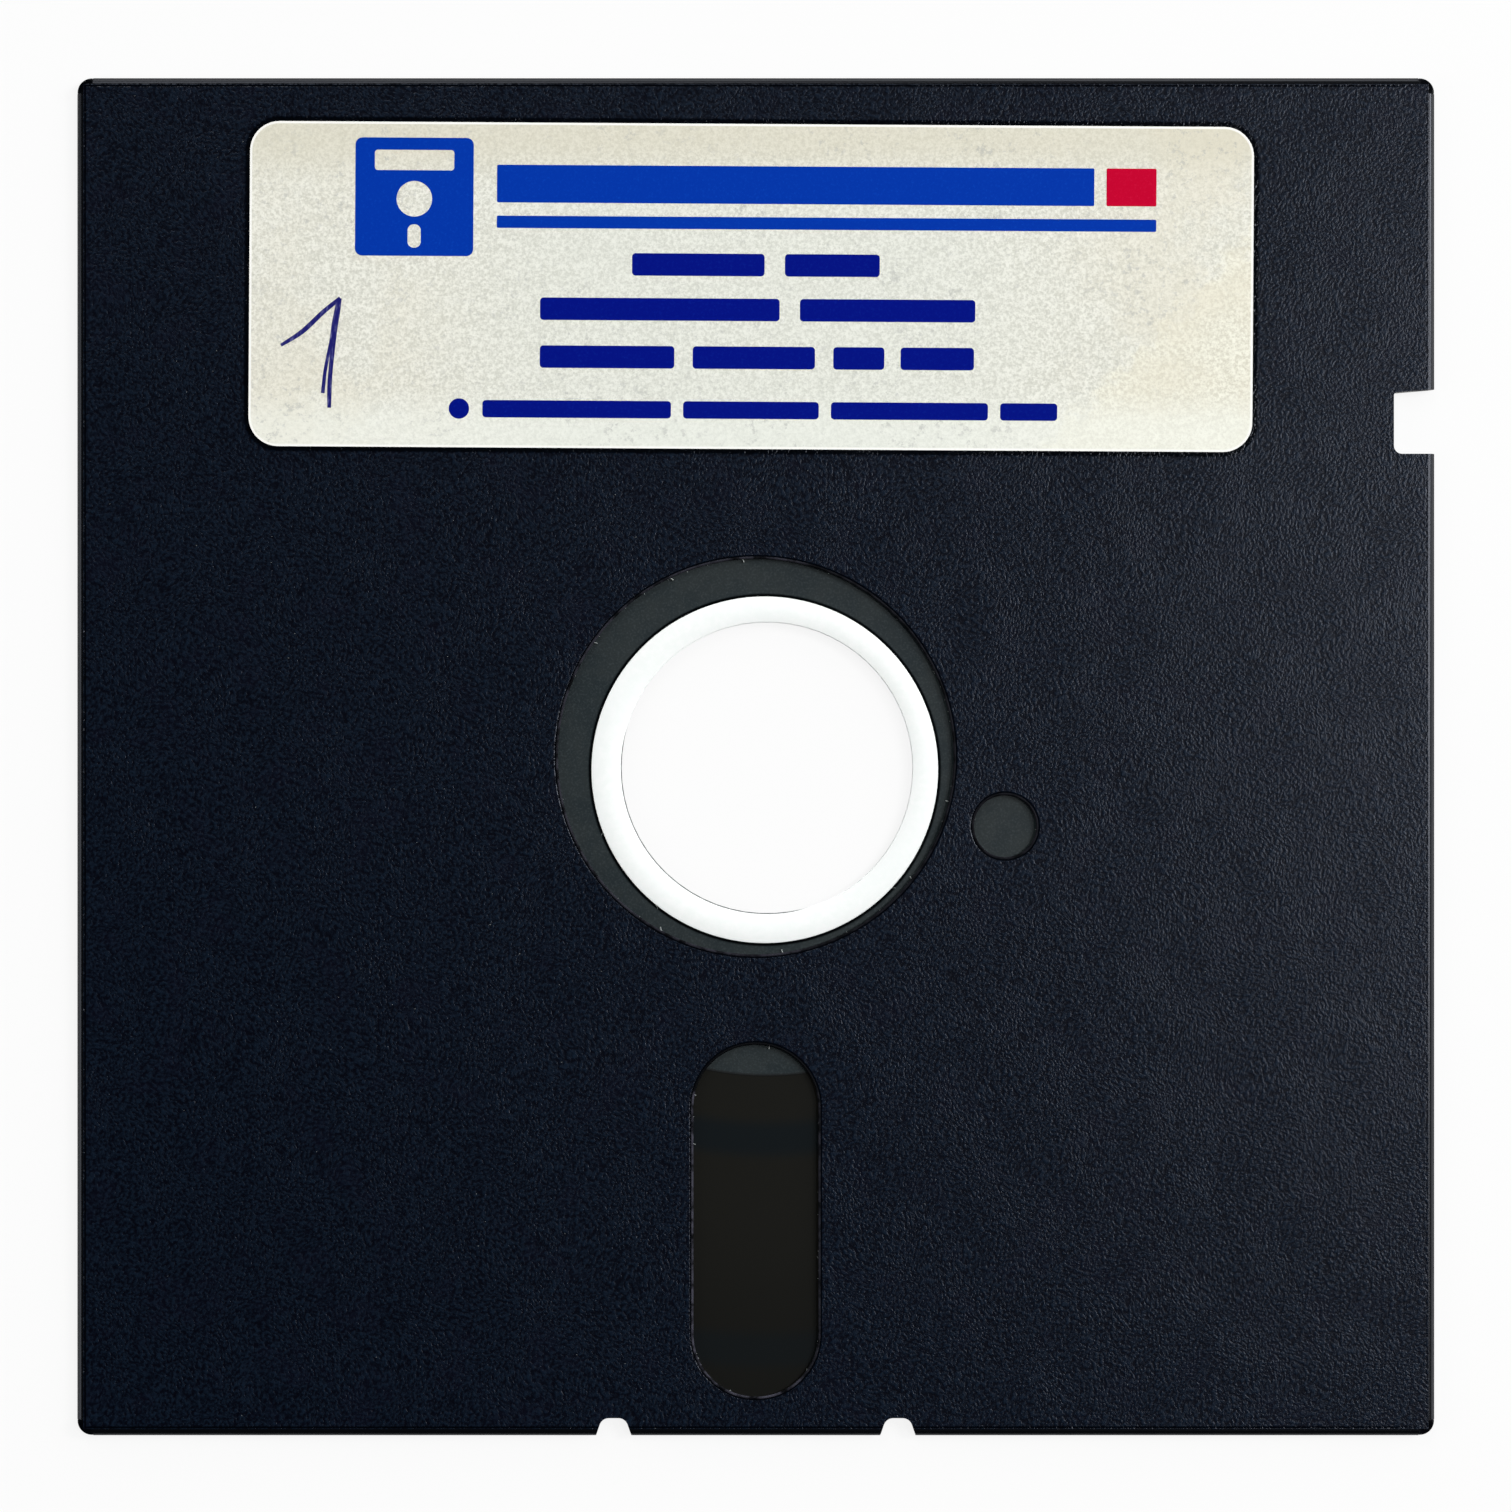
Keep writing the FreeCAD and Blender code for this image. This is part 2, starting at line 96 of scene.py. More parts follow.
print(f"jacket {2 * HALF_SIDE:.2f} mm wide, face at {JACKET_FACE:.2f}")
print(f"disk centre {DISK_CENTRE.x:.2f}, {DISK_CENTRE.y:.2f}, face at {DISK_FACE:.2f}")
print(f"label centre {LABEL_CENTRE.x:.2f}, {LABEL_CENTRE.y:.2f}, face at {LABEL_FACE:.2f}")

# %% [markdown]
# ## The camera
#
# The photograph was taken from straight above. Its frame is 1512 pixels wide and shows
# 10.19 pixels for each millimetre, which gives the width of what the camera sees. A long
# lens keeps the square jacket square. The distance then follows from the lens: the sensor
# is to the lens as the seen width is to the distance.

# %% Camera, straight above
PIXELS_PER_MM = 10.19
FRAME_PIXELS = 1512
LENS = 100.0
SENSOR = 36.0
AIM = (0.02, 0.06)

seen_width = FRAME_PIXELS / PIXELS_PER_MM
camera_height = JACKET_FACE + seen_width * LENS / SENSOR
camera_data = bpy.data.cameras.new("camera")
camera_data.lens = LENS
camera_data.sensor_width = SENSOR
camera = bpy.data.objects.new("camera", camera_data)
camera.location = (AIM[0] * MM, AIM[1] * MM, camera_height * MM)
scene.collection.objects.link(camera)
scene.camera = camera
print(f"camera {camera_height:.0f} mm up, sees {seen_width:.1f} mm")

# %% [markdown]
# ## Helpers for nodes
#
# Every finish here is made of shader nodes, with no pictures. A few short helpers keep the
# recipes readable: one adds a node and fills or links its sockets, and the others are the
# nodes that come back again and again. Patterns read the place on the piece itself in
# millimetres, so a scale of 2 means two spots per millimetre.


# %% Add nodes in one line each
def add(tree, kind, sockets=None, **settings):
    """A new node. Settings are its own choices; sockets get a plain value or a link."""
    node = tree.nodes.new(kind)
    for name, value in settings.items():
        setattr(node, name, value)
    for socket, value in (sockets or {}).items():
        if isinstance(value, bpy.types.NodeSocket):
            tree.links.new(value, node.inputs[socket])
        else:
            node.inputs[socket].default_value = value
    return node


def colour(red, green, blue):
    """A colour as a screen shows it, 0 to 255, in the linear values that a shader takes."""
    shares = [value / 255 for value in (red, green, blue)]
    linear = [s / 12.92 if s < 0.04045 else ((s + 0.055) / 1.055) ** 2.4 for s in shares]
    return (*linear, 1.0)


def new_finish(name, **sockets):
    """A material with a Principled shader whose fixed values are set on its own sockets."""
    material = bpy.data.materials.new(name)
    material.use_nodes = True
    shader = material.node_tree.nodes["Principled BSDF"]
    titles = {"roughness": "Roughness", "gloss": "Specular IOR Level", "tint": "Specular Tint"}
    for key, value in sockets.items():
        shader.inputs[titles[key]].default_value = value
    return material, material.node_tree, shader


def maths(tree, operation, *values):
    """One sum with numbers or links."""
    return add(tree, "ShaderNodeMath", dict(enumerate(values)), operation=operation).outputs[0]


def vector_maths(tree, operation, *values, **named):
    """One sum with whole vectors."""
    sockets = dict(enumerate(values)) | named
    return add(tree, "ShaderNodeVectorMath", sockets, operation=operation).outputs[0]


def length(tree, vector):
    """How long a vector is."""
    return add(tree, "ShaderNodeVectorMath", {0: vector}, operation="LENGTH").outputs["Value"]


def coordinates(tree, place):
    """The X, Y and Z of a place."""
    return add(tree, "ShaderNodeSeparateXYZ", {0: place}).outputs


# %% Places and distances on a piece
def millimetres(tree):
    """The place on the piece, in millimetres."""
    place = add(tree, "ShaderNodeTexCoord").outputs["Object"]
    return vector_maths(tree, "SCALE", place, Scale=1 / MM)


def stretched(tree, place, scale, turn=0.0, centre=(0.0, 0.0, 0.0)):
    """A pattern laid anew: about a centre, turned in degrees, drawn out along each axis."""
    angles = (0.0, 0.0, math.radians(turn))
    sockets = {"Vector": place, "Location": centre, "Rotation": angles, "Scale": scale}
    return add(tree, "ShaderNodeMapping", sockets, vector_type="TEXTURE").outputs[0]


def distance_from(tree, place, x, y):
    """How far a point lies from a vertical axis, in millimetres."""
    offset = vector_maths(tree, "SUBTRACT", place, (x, y, 0.0))
    return length(tree, vector_maths(tree, "MULTIPLY", offset, (1.0, 1.0, 0.0)))


# %% Patterns, colours and relief
def noise(tree, place, scale, detail=2.0, roughness=0.5, distortion=0.0):
    """Cloudy noise around 0.5, with so many spots per millimetre."""
    sockets = {"Vector": place, "Scale": scale, "Detail": detail}
    sockets |= {"Roughness": roughness, "Distortion": distortion}
    return add(tree, "ShaderNodeTexNoise", sockets).outputs["Fac"]


def step(tree, value, low, high, first=0.0, last=1.0):
    """A soft step: first up to low, last from high on."""
    sockets = {"Value": value, "From Min": low, "From Max": high, "To Min": first, "To Max": last}
    node = add(tree, "ShaderNodeMapRange", sockets, interpolation_type="SMOOTHSTEP")
    return node.outputs["Result"]


def line_at(tree, value, target, outer, inner, strength=1.0):
    """A soft line where a value comes near a target: none past outer, full within inner."""
    off = maths(tree, "ABSOLUTE", maths(tree, "SUBTRACT", value, target))
    return step(tree, off, outer, inner, 0.0, strength)


def mixed(tree, factor, first, second):
    """Two colours mixed: first at factor 0, second at factor 1."""
    sockets = {0: factor, 6: first, 7: second}
    return add(tree, "ShaderNodeMix", sockets, data_type="RGBA").outputs[2]


def raise_surface(tree, shader, height, distance, strength=1.0):
    """Bump from a height of 0 to 1 that stands for so many millimetres."""
    sockets = {"Height": height, "Distance": distance * MM, "Strength": strength}
    node = add(tree, "ShaderNodeBump", sockets)
    tree.links.new(node.outputs["Normal"], shader.inputs["Normal"])


# %% [markdown]
# ## The vinyl of the jacket
#
# The jacket is one sheet of navy-black vinyl, rolled with a fine leathery grain: crests
# about a third of a millimetre wide, with darker gaps between them. Where the sheet was
# heated and folded at the edges, the grain is pressed smooth and a thin crease runs beside
# the fold. The outer parts of the folds on the right and at the top are painted paler, as
# painted light on the side that the light comes from. Painted shade darkens the crease, the
# corners of the folds, a line beside the label and a line round each window, where the
# punch pressed the sheet down.
#
# Noise makes the grain. A soft step turns cloudy noise into crests with gaps between them.
# A second, slower noise shifts the place that the first one reads, so that the crests
# wander as they do on a rolled sheet. The same pattern drives the colour, the gloss and the
# bump, because the gaps are darker, smoother and lower than the crests.
#
# Everything else follows from distances: from the middle towards the sides, from the
# nearest window and from the label. A soft step at some distance makes a band or a line.

# %% Distances that the vinyl needs
def edge_distance(tree, place):
    """The greater and the lesser distance from the middle along the two sides."""
    sides = coordinates(tree, place)
    across = maths(tree, "ABSOLUTE", sides["X"])
    along = maths(tree, "ABSOLUTE", sides["Y"])
    return maths(tree, "MAXIMUM", across, along), maths(tree, "MINIMUM", across, along)


def window_distance(tree, place):
    """How far a point lies outside the nearest window, in millimetres."""
    hub = maths(tree, "SUBTRACT", distance_from(tree, place, 0.0, 0.0), HUB_WINDOW)
    index = maths(tree, "SUBTRACT", distance_from(tree, place, *INDEX_PLACE), INDEX_WINDOW)
    sides = coordinates(tree, place)
    nearest = maths(tree, "MINIMUM", maths(tree, "MAXIMUM", sides["Y"], SLOT_BOTTOM), SLOT_TOP)
    beyond = maths(tree, "SUBTRACT", sides["Y"], nearest)
    offset = add(tree, "ShaderNodeCombineXYZ", {"X": sides["X"], "Y": beyond}).outputs[0]
    slot = maths(tree, "SUBTRACT", length(tree, offset), SLOT_HALF_WIDTH)
    return maths(tree, "MINIMUM", maths(tree, "MINIMUM", hub, index), slot)


def label_distance(tree, place):
    """How far a point lies outside the label, in millimetres; inside it is negative."""
    turn = math.degrees(LABEL_TILT)
    local = stretched(tree, place, (1.0, 1.0, 1.0), turn, (*LABEL_CENTRE, 0.0))
    any_height = 100.0
    reach = (LABEL_WIDTH / 2 - LABEL_ROUNDING, LABEL_HEIGHT / 2 - LABEL_ROUNDING, any_height)
    beyond = vector_maths(tree, "SUBTRACT", vector_maths(tree, "ABSOLUTE", local), reach)
    outside = vector_maths(tree, "MAXIMUM", beyond, (0.0, 0.0, 0.0))
    return maths(tree, "SUBTRACT", length(tree, outside), LABEL_ROUNDING)


# %% Crests of the grain
GRAIN_FINENESS = 3.4
GRAIN_TURN = -14
GRAIN_DEPTH = 0.02
WANDER = 3.0


def vinyl_crests(tree, place):
    """1 on the crests of the grain, 0 in its gaps."""
    drift = add(tree, "ShaderNodeTexNoise", {"Vector": place, "Scale": 0.12, "Detail": 1.0})
    shift = vector_maths(tree, "SCALE", drift.outputs["Color"], Scale=WANDER)
    moved = vector_maths(tree, "ADD", place, shift)
    cells = stretched(tree, moved, (0.95, 1.1, 1.0), turn=GRAIN_TURN)
    grain = noise(tree, cells, GRAIN_FINENESS, detail=1.5, roughness=0.5, distortion=0.3)
    return step(tree, grain, 0.3, 0.8)


# %% Folds, creases, painted light and painted shade
FOLD_BAND = 66.0
CREASE = 65.83


def vinyl_zones(tree, place):
    """Masks from 0 to 1: folded, pressed, rubbed, and painted light and shade."""
    edge, other = edge_distance(tree, place)
    sides = coordinates(tree, place)
    fold = step(tree, edge, FOLD_BAND - 0.05, FOLD_BAND + 0.05)
    rim = step(tree, window_distance(tree, place), 0.3, 0.18)
    crease = line_at(tree, edge, CREASE, 0.14, 0.04)
    crease = maths(tree, "MULTIPLY", crease, step(tree, sides["X"], 62.0, 65.5, 1.0, 0.3))
    pressed = maths(tree, "MAXIMUM", crease, rim)

    corner = maths(tree, "MULTIPLY", step(tree, other, 64.9, 65.5), fold)
    on_front = step(tree, sides["Z"], JACKET_FACE - 0.1, JACKET_FACE - 0.05)
    beside_label = step(tree, label_distance(tree, place), 0.65, 0.3)
    beside_label = maths(tree, "MULTIPLY", beside_label, on_front)
    # Painted shade: the crease, the window rims, the fold corners and a line beside the label.
    dark = maths(tree, "MAXIMUM", maths(tree, "MAXIMUM", pressed, corner), beside_label)

    upper_right = maths(tree, "MAXIMUM", sides["X"], sides["Y"])
    # Painted light: the outer parts of the right and top folds are made paler.
    painted_fold_light = step(tree, upper_right, FOLD_BAND + 0.25, FOLD_BAND + 0.5)
    rubbed = step(tree, edge, FOLD_BAND + 0.38, FOLD_BAND + 0.5)
    rubbed = maths(tree, "MULTIPLY", rubbed, step(tree, upper_right, 65.0, 66.2, 0.4, 1.0))
    return {"fold": fold, "rim": rim, "pressed": pressed, "dark": dark,
            "painted_fold_light": painted_fold_light, "rubbed": rubbed}


# %% Grained vinyl, smooth at the folds
def make_vinyl():
    material, tree, shader = new_finish("grained_vinyl", gloss=0.3, tint=(0.82, 0.87, 1.0, 1.0))
    place = millimetres(tree)
    crest = vinyl_crests(tree, place)
    zone = vinyl_zones(tree, place)

    body = mixed(tree, crest, colour(0, 1, 9), colour(8, 22, 37))
    cloud = noise(tree, place, 0.25, detail=3.0, roughness=0.6)
    body = mixed(tree, step(tree, cloud, 0.5, 0.72, 0.0, 0.3), body, colour(9, 10, 26))
    body = mixed(tree, zone["fold"], body, colour(4, 5, 7))
    # Painted light, paler on the outer parts of the right and top folds.
    body = mixed(tree, zone["painted_fold_light"], body, colour(32, 32, 33))
    # Painted shade in the crease, round the windows, in the fold corners and beside the label.
    body = mixed(tree, maths(tree, "MULTIPLY", zone["dark"], 0.9), body, colour(1, 2, 4))
    tree.links.new(body, shader.inputs["Base Color"])

    rough = step(tree, crest, 0.0, 0.8, 0.285, 0.33)
    rough = step(tree, zone["fold"], 0.0, 1.0, rough, 0.25)
    rough = step(tree, zone["dark"], 0.0, 1.0, rough, 0.15)
    rough = maths(tree, "MULTIPLY_ADD", zone["rubbed"], 0.5, rough)
    tree.links.new(rough, shader.inputs["Roughness"])

    flat = maths(tree, "MAXIMUM", zone["fold"], zone["rim"])
    relief = maths(tree, "MULTIPLY", crest, maths(tree, "SUBTRACT", 1.0, flat))
    grooved = maths(tree, "SUBTRACT", relief, maths(tree, "MULTIPLY", zone["pressed"], 0.5))
    raise_surface(tree, shader, grooved, GRAIN_DEPTH)
    return material


vinyl = make_vinyl()

# %% [markdown]
# ## The coated disk
#
# The disk is polyester film with a magnetic coating. Near its hub the coating is matt and
# dark grey, and from about 30 mm outwards it is polished: brown, almost black, and smooth
# enough to mirror the room softly, with two faint bluish rings. A dark line of painted shade
# runs round the foot of the hub ring. At the bore the cut edge of the bare film is pale, and
# greyer at the lower left, where it lies in shade. The finish is built on the distance from
# the disk's own centre, so every ring of it is round about the axis on which it turns.

# %% Matt grey inside, burnished brown outside
COATING_EDGE = 30.2
BLUE_RINGS = [(36.5, 1.0), (57.2, 0.7)]
BARE_EDGE = 14.4


def coating_colour(tree, radius, outer, patch, speckle):
    """Matt and speckled inside, polished and ringed outside, with a dark line between."""
    matt = mixed(tree, step(tree, patch, 0.35, 0.65), colour(21, 32, 36), colour(31, 39, 41))
    matt = mixed(tree, step(tree, speckle, 0.45, 0.75, 0.0, 0.5), matt, colour(56, 64, 67))
    worn = step(tree, radius, 43.0, 60.0, 0.0, 0.5)
    polished = mixed(tree, worn, colour(21, 21, 18), colour(13, 14, 13))
    for place, share in BLUE_RINGS:
        ring = line_at(tree, radius, place, 2.4, 0.8, share)
        polished = mixed(tree, ring, polished, colour(12, 18, 21))
    body = mixed(tree, outer, matt, polished)
    line = line_at(tree, radius, COATING_EDGE, 0.22, 0.04)
    return mixed(tree, maths(tree, "MULTIPLY", line, 0.7), body, colour(8, 9, 10))


def paint_ring_foot_shade(tree, place):
    """A painted shade line round the foot of the hub ring, on the front only."""
    rim_centre = DISK_CENTRE + Vector(RIM_SHIFT)
    off_rim = maths(tree, "SUBTRACT", distance_from(tree, place, *rim_centre), RING_RIM)
    on_front = step(tree, coordinates(tree, place)["Z"], DISK_FACE - 0.03, DISK_FACE - 0.01)
    return maths(tree, "MULTIPLY", step(tree, off_rim, 0.42, 0.16), on_front)


# %% Magnetic coating
def make_coating():
    material, tree, shader = new_finish("magnetic_coating", gloss=0.3)
    place = millimetres(tree)
    radius = distance_from(tree, place, *DISK_CENTRE)
    outer = step(tree, radius, COATING_EDGE - 0.05, COATING_EDGE + 0.1)
    patch = noise(tree, place, 0.35, detail=4.0, roughness=0.6)
    speckle = noise(tree, place, 5.0, detail=2.0)
    ring_foot_shade = paint_ring_foot_shade(tree, place)

    body = coating_colour(tree, radius, outer, patch, speckle)
    # Painted shade round the foot of the hub ring.
    body = mixed(tree, maths(tree, "MULTIPLY", ring_foot_shade, 0.95), body, colour(1, 2, 3))
    sides = coordinates(tree, place)
    shaded = step(tree, maths(tree, "ADD", sides["X"], sides["Y"]), -9.0, -12.5)
    bare_film = mixed(tree, shaded, colour(248, 250, 250), colour(112, 115, 117))
    body = mixed(tree, step(tree, radius, BARE_EDGE + 0.04, BARE_EDGE), body, bare_film)
    tree.links.new(body, shader.inputs["Base Color"])

    rough = step(tree, outer, 0.0, 1.0, 0.45, 0.28)
    tree.links.new(maths(tree, "MULTIPLY_ADD", ring_foot_shade, -0.3, rough), shader.inputs["Roughness"])
    sockets = {"W": radius, "Scale": 12.0, "Detail": 3.0}
    tracks = add(tree, "ShaderNodeTexNoise", sockets, noise_dimensions="1D").outputs["Fac"]
    relief = maths(tree, "MULTIPLY_ADD", speckle, 0.5, tracks)
    raise_surface(tree, shader, relief, 0.002, strength=0.4)
    return material


coating = make_coating()

# %% [markdown]
# ## White film, liner and paper
#
# The hub ring is white plastic film with a faint green cast and a fine mottle. The liners
# are nonwoven fabric, a felt of pale fibres in all directions. The label is old paper: off
# white with a mottle of pulp, yellowed towards its ends and its top, smudged grey in
# places and cleaner in its lower right corner. Along its cut rim it is painted paler, as a
# painted highlight.
#
# The felt comes from noise that is stretched far in one direction and cut off near its
# middle, so that thin crests are left. Three turns of it give fibres that lie in three
# directions. The paper needs no fibres: cloudy noises of several sizes make its pulp and
# its smudges, and soft steps along its length and height say where it has yellowed.

# %% Ring film and nonwoven liner
FELT_TURNS = (20, 80, 140)


def make_ring_film():
    material, tree, shader = new_finish("ring_film", roughness=0.42, gloss=0.4)
    place = millimetres(tree)
    mottle = noise(tree, place, 1.6, detail=4.0, roughness=0.65)
    cloud = noise(tree, place, 0.12, detail=2.0)
    body = mixed(tree, step(tree, mottle, 0.35, 0.7), colour(248, 252, 250), colour(253, 255, 254))
    body = mixed(tree, step(tree, cloud, 0.4, 0.6, 0.0, 0.4), body, colour(249, 253, 252))
    tree.links.new(body, shader.inputs["Base Color"])
    raise_surface(tree, shader, mottle, 0.004, strength=0.4)
    return material


def make_liner():
    material, tree, shader = new_finish("nonwoven_liner", roughness=0.95, gloss=0.1)
    place = millimetres(tree)
    felt = 0.0
    for turn in FELT_TURNS:
        drawn_out = stretched(tree, place, (6.0, 1.0, 1.0), turn=turn)
        fibres = step(tree, noise(tree, drawn_out, 5.0, detail=1.0), 0.45, 0.6)
        felt = maths(tree, "MAXIMUM", felt, fibres)
    body = mixed(tree, felt, colour(150, 152, 150), colour(205, 206, 202))
    tree.links.new(body, shader.inputs["Base Color"])
    raise_surface(tree, shader, felt, 0.03)
    return material


ring_film = make_ring_film()
liner_felt = make_liner()


# %% How the paper has aged
def clean_corner(tree, place, slant):
    """1 in the cleaner corner at the lower right, which ends in a frayed slanting line."""
    fray = noise(tree, place, 0.5, detail=4.0, roughness=0.6)
    return step(tree, maths(tree, "MULTIPLY_ADD", fray, 7.0, slant), 34.4, 36.2)


def aged_tones(tree, body, across, along, slant, rub):
    """Yellowed at the ends and the top, paler at the foot, cooler in the middle."""
    off_middle = maths(tree, "ABSOLUTE", across)
    yellow = step(tree, off_middle, 22.0, 48.0, 0.0, 0.5)
    yellow = maths(tree, "MULTIPLY", yellow, step(tree, slant, -34.0, -22.0, 0.35, 1.0))
    yellow = maths(tree, "MULTIPLY", yellow, step(tree, rub, 0.4, 0.6))
    body = mixed(tree, yellow, body, colour(228, 222, 202))
    body = mixed(tree, step(tree, along, 9.0, 14.5, 0.0, 0.6), body, colour(215, 210, 189))
    body = mixed(tree, step(tree, along, -9.5, -14.0, 0.0, 0.5), body, colour(243, 246, 237))
    cool = step(tree, off_middle, 36.0, 12.0, 0.0, 0.3)
    cool = maths(tree, "MULTIPLY", cool, step(tree, along, 13.0, 8.0))
    return mixed(tree, cool, body, colour(222, 228, 221))


# %% Aged label paper
def make_paper():
    material, tree, shader = new_finish("aged_paper", roughness=0.85, gloss=0.15)
    place = millimetres(tree)
    sides = coordinates(tree, stretched(tree, place, (1.0, 1.0, 1.0), centre=(*LABEL_CENTRE, 0.0)))
    across, along = sides["X"], sides["Y"]
    slant = maths(tree, "MULTIPLY_ADD", across, 0.717, maths(tree, "MULTIPLY", along, -0.697))
    corner = clean_corner(tree, place, slant)

    pulp = noise(tree, place, 3.2, detail=3.0, roughness=0.75)
    dark_pulp = mixed(tree, corner, colour(206, 206, 194), colour(214, 211, 194))
    light_pulp = mixed(tree, corner, colour(242, 242, 232), colour(246, 245, 230))
    body = mixed(tree, step(tree, pulp, 0.34, 0.66), dark_pulp, light_pulp)
    rub = noise(tree, place, 0.09, detail=4.0, roughness=0.6)
    body = aged_tones(tree, body, across, along, slant, rub)

    smudge = step(tree, noise(tree, place, 1.1, detail=4.0, roughness=0.8), 0.54, 0.66)
    smudge = maths(tree, "MULTIPLY", smudge, step(tree, rub, 0.4, 0.62, 0.1, 0.5))
    smudge = maths(tree, "MULTIPLY", smudge, step(tree, corner, 0.0, 1.0, 1.0, 0.3))
    body = mixed(tree, smudge, body, colour(172, 174, 170))
    # Painted highlight: the paper is made paler along its cut rim.
    rim = step(tree, label_distance(tree, place), -0.28, -0.16)
    body = mixed(tree, rim, body, colour(250, 250, 245))
    tree.links.new(body, shader.inputs["Base Color"])
    raise_surface(tree, shader, pulp, 0.012, strength=0.7)
    return material


paper = make_paper()

# %% [markdown]
# ## Give the solid pieces their finishes
#
# The solids keep their shapes. Each one only gets a better material in the slot that it
# already has.

# %% Dress the solids
finishes = {
    "jacket": vinyl,
    "back_liner": liner_felt,
    "front_liner": liner_felt,
    "magnetic_disk": coating,
    "label": paper,
}
for node, material in finishes.items():
    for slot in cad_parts[node].material_slots:
        slot.material = material
    print(f"{node} wears {material.name}")


# %% [markdown]
# ## Meshes from code
#
# Most added pieces are made as lists of points and faces. One helper turns such lists into
# an object whose origin stays at the middle of the jacket, with its place in its mesh, so
# that patterns and motion agree with the solids.


# %% A piece from points and faces
def new_piece(name, points, faces, body, material, smooth=False, edges=()):
    """A mesh piece, points in millimetres, that rides on a body of the object."""
    mesh = bpy.data.meshes.new(name)
    mesh.from_pydata([tuple(value * MM for value in point) for point in points], list(edges), faces)
    mesh.materials.append(material)
    for face in mesh.polygons:
        face.use_smooth = smooth
    mesh.validate()
    piece = bpy.data.objects.new(name, mesh)
    scene.collection.objects.link(piece)
    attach(piece, body)
    return piece


def circle(x, y, radius, count):
    """Points evenly round a circle."""
    turns = [2 * math.pi * number / count for number in range(count)]
    return [(x + radius * math.cos(turn), y + radius * math.sin(turn)) for turn in turns]


# %% [markdown]
# ## The hub ring
#
# The ring was stamped out of film and glued round the bore. Its rim is a little off centre,
# as the photograph shows, and the stamping left its edges soft. The solid has sharp edges,
# so a ring with a rounded section takes its place, with the same rim and the same height.
# Its bore lies a twentieth of a millimetre to the lower left of the disk's, so that the cut
# edge of the film shows there as a thin line. The section is written once, as steps in from
# the two edges and heights, and is then carried round.

# %% Ring with soft edges
RING_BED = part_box("hub_ring")[0].z / MM
SOFT_EDGE = [(0.0, 0.13), (0.012, 0.165), (0.035, 0.188), (0.07, 0.2)]
RING_STEPS = 256


def ring_section(turn):
    """The section at one angle, from the lower edge at the bore to the lower edge at the rim."""
    aim = Vector((math.cos(turn), math.sin(turn)))
    inner = DISK_CENTRE + Vector(BORE_SHIFT) + aim * RING_BORE
    outer = DISK_CENTRE + Vector(RIM_SHIFT) + aim * RING_RIM
    across = (outer - inner).normalized()
    section = [(*inner, RING_BED)]
    section += [(*(inner + across * reach), RING_BED + rise) for reach, rise in SOFT_EDGE]
    section += [(*(outer - across * reach), RING_BED + rise) for reach, rise in reversed(SOFT_EDGE)]
    return section + [(*outer, RING_BED)]


sections = [ring_section(2 * math.pi * number / RING_STEPS) for number in range(RING_STEPS)]
width = len(sections[0])
ring_faces = []
for number in range(RING_STEPS):
    here = number * width
    there = (number + 1) % RING_STEPS * width
    for place in range(width):
        after = (place + 1) % width
        ring_faces.append((here + place, there + place, there + after, here + after))
ring_points = [point for section in sections for point in section]
ring = new_piece(
    "hub_ring_film", ring_points, ring_faces, "disk", ring_film, smooth=True
)
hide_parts("hub_ring")
print(f"hub ring with {len(ring_faces)} faces")


# %% [markdown]
# ## Geometry Nodes for what repeats
#
# Three things on this object repeat or follow a line: the raised lip that the punch left
# round each window, the fibres that stand out of the liners there, and dust. Each is grown
# by a small tree of Geometry Nodes with named inputs for its sizes. When a tree has done
# its work, its result is kept as a plain mesh and the modifier goes.


# %% Start a tree, and use one
def new_growth(name, sizes):
    """A Geometry Nodes tree with geometry in and out and a named input for each size."""
    tree = bpy.data.node_groups.new(name, "GeometryNodeTree")
    tree.interface.new_socket("Geometry", in_out="INPUT", socket_type="NodeSocketGeometry")
    for title, value in sizes.items():
        kind = "NodeSocketInt" if isinstance(value, int) else "NodeSocketFloat"
        tree.interface.new_socket(title, in_out="INPUT", socket_type=kind).default_value = value
    tree.interface.new_socket("Geometry", in_out="OUTPUT", socket_type="NodeSocketGeometry")
    return tree, tree.nodes.new("NodeGroupInput").outputs


def close_growth(tree, geometry, material):
    """End a tree: real geometry, smooth, in one material."""
    real = add(tree, "GeometryNodeRealizeInstances", {0: geometry}).outputs[0]
    smooth = add(tree, "GeometryNodeSetShadeSmooth", {0: real}).outputs[0]
    dressed = add(tree, "GeometryNodeSetMaterial", {0: smooth, "Material": material}).outputs[0]
    tree.links.new(dressed, tree.nodes.new("NodeGroupOutput").inputs[0])


def grow(piece, tree, sizes=None):
    """Run a tree on a piece and keep the result as a plain mesh."""
    modifier = piece.modifiers.new(tree.name, "NODES")
    modifier.node_group = tree
    for item in tree.interface.items_tree:
        if item.in_out == "INPUT" and item.name in (sizes or {}):
            modifier[item.identifier] = sizes[item.name]
    seen = piece.evaluated_get(bpy.context.evaluated_depsgraph_get())
    mesh = bpy.data.meshes.new_from_object(seen)
    piece.modifiers.clear()
    piece.data = mesh
    print(f"{piece.name} has {len(mesh.polygons)} faces")


# %% [markdown]
# ## Lips of the windows
#
# A punch drags the vinyl with it and leaves a fine raised lip round each hole. The lips are
# dark, with painted highlights as paler spots where they face the light: most of all down
# the left side of the slot, and more faintly round the left of the hub window. The outline
# of each window is a closed line of points; the tree turns it into a curve and sweeps a
# small circle along it, whose size wavers a little.

# %% Outlines of the three windows
LIP_SIZE = 0.13
LIP_SUNK = 0.08


def slot_outline(count):
    """The head slot: two half circles joined by straight sides."""
    half = count // 2
    reach = SLOT_HALF_WIDTH
    points = []
    for middle, start in ((SLOT_TOP, 0.0), (SLOT_BOTTOM, math.pi)):
        for number in range(half + 1):
            turn = start + math.pi * number / half
            points.append((reach * math.cos(turn), middle + reach * math.sin(turn)))
    return points


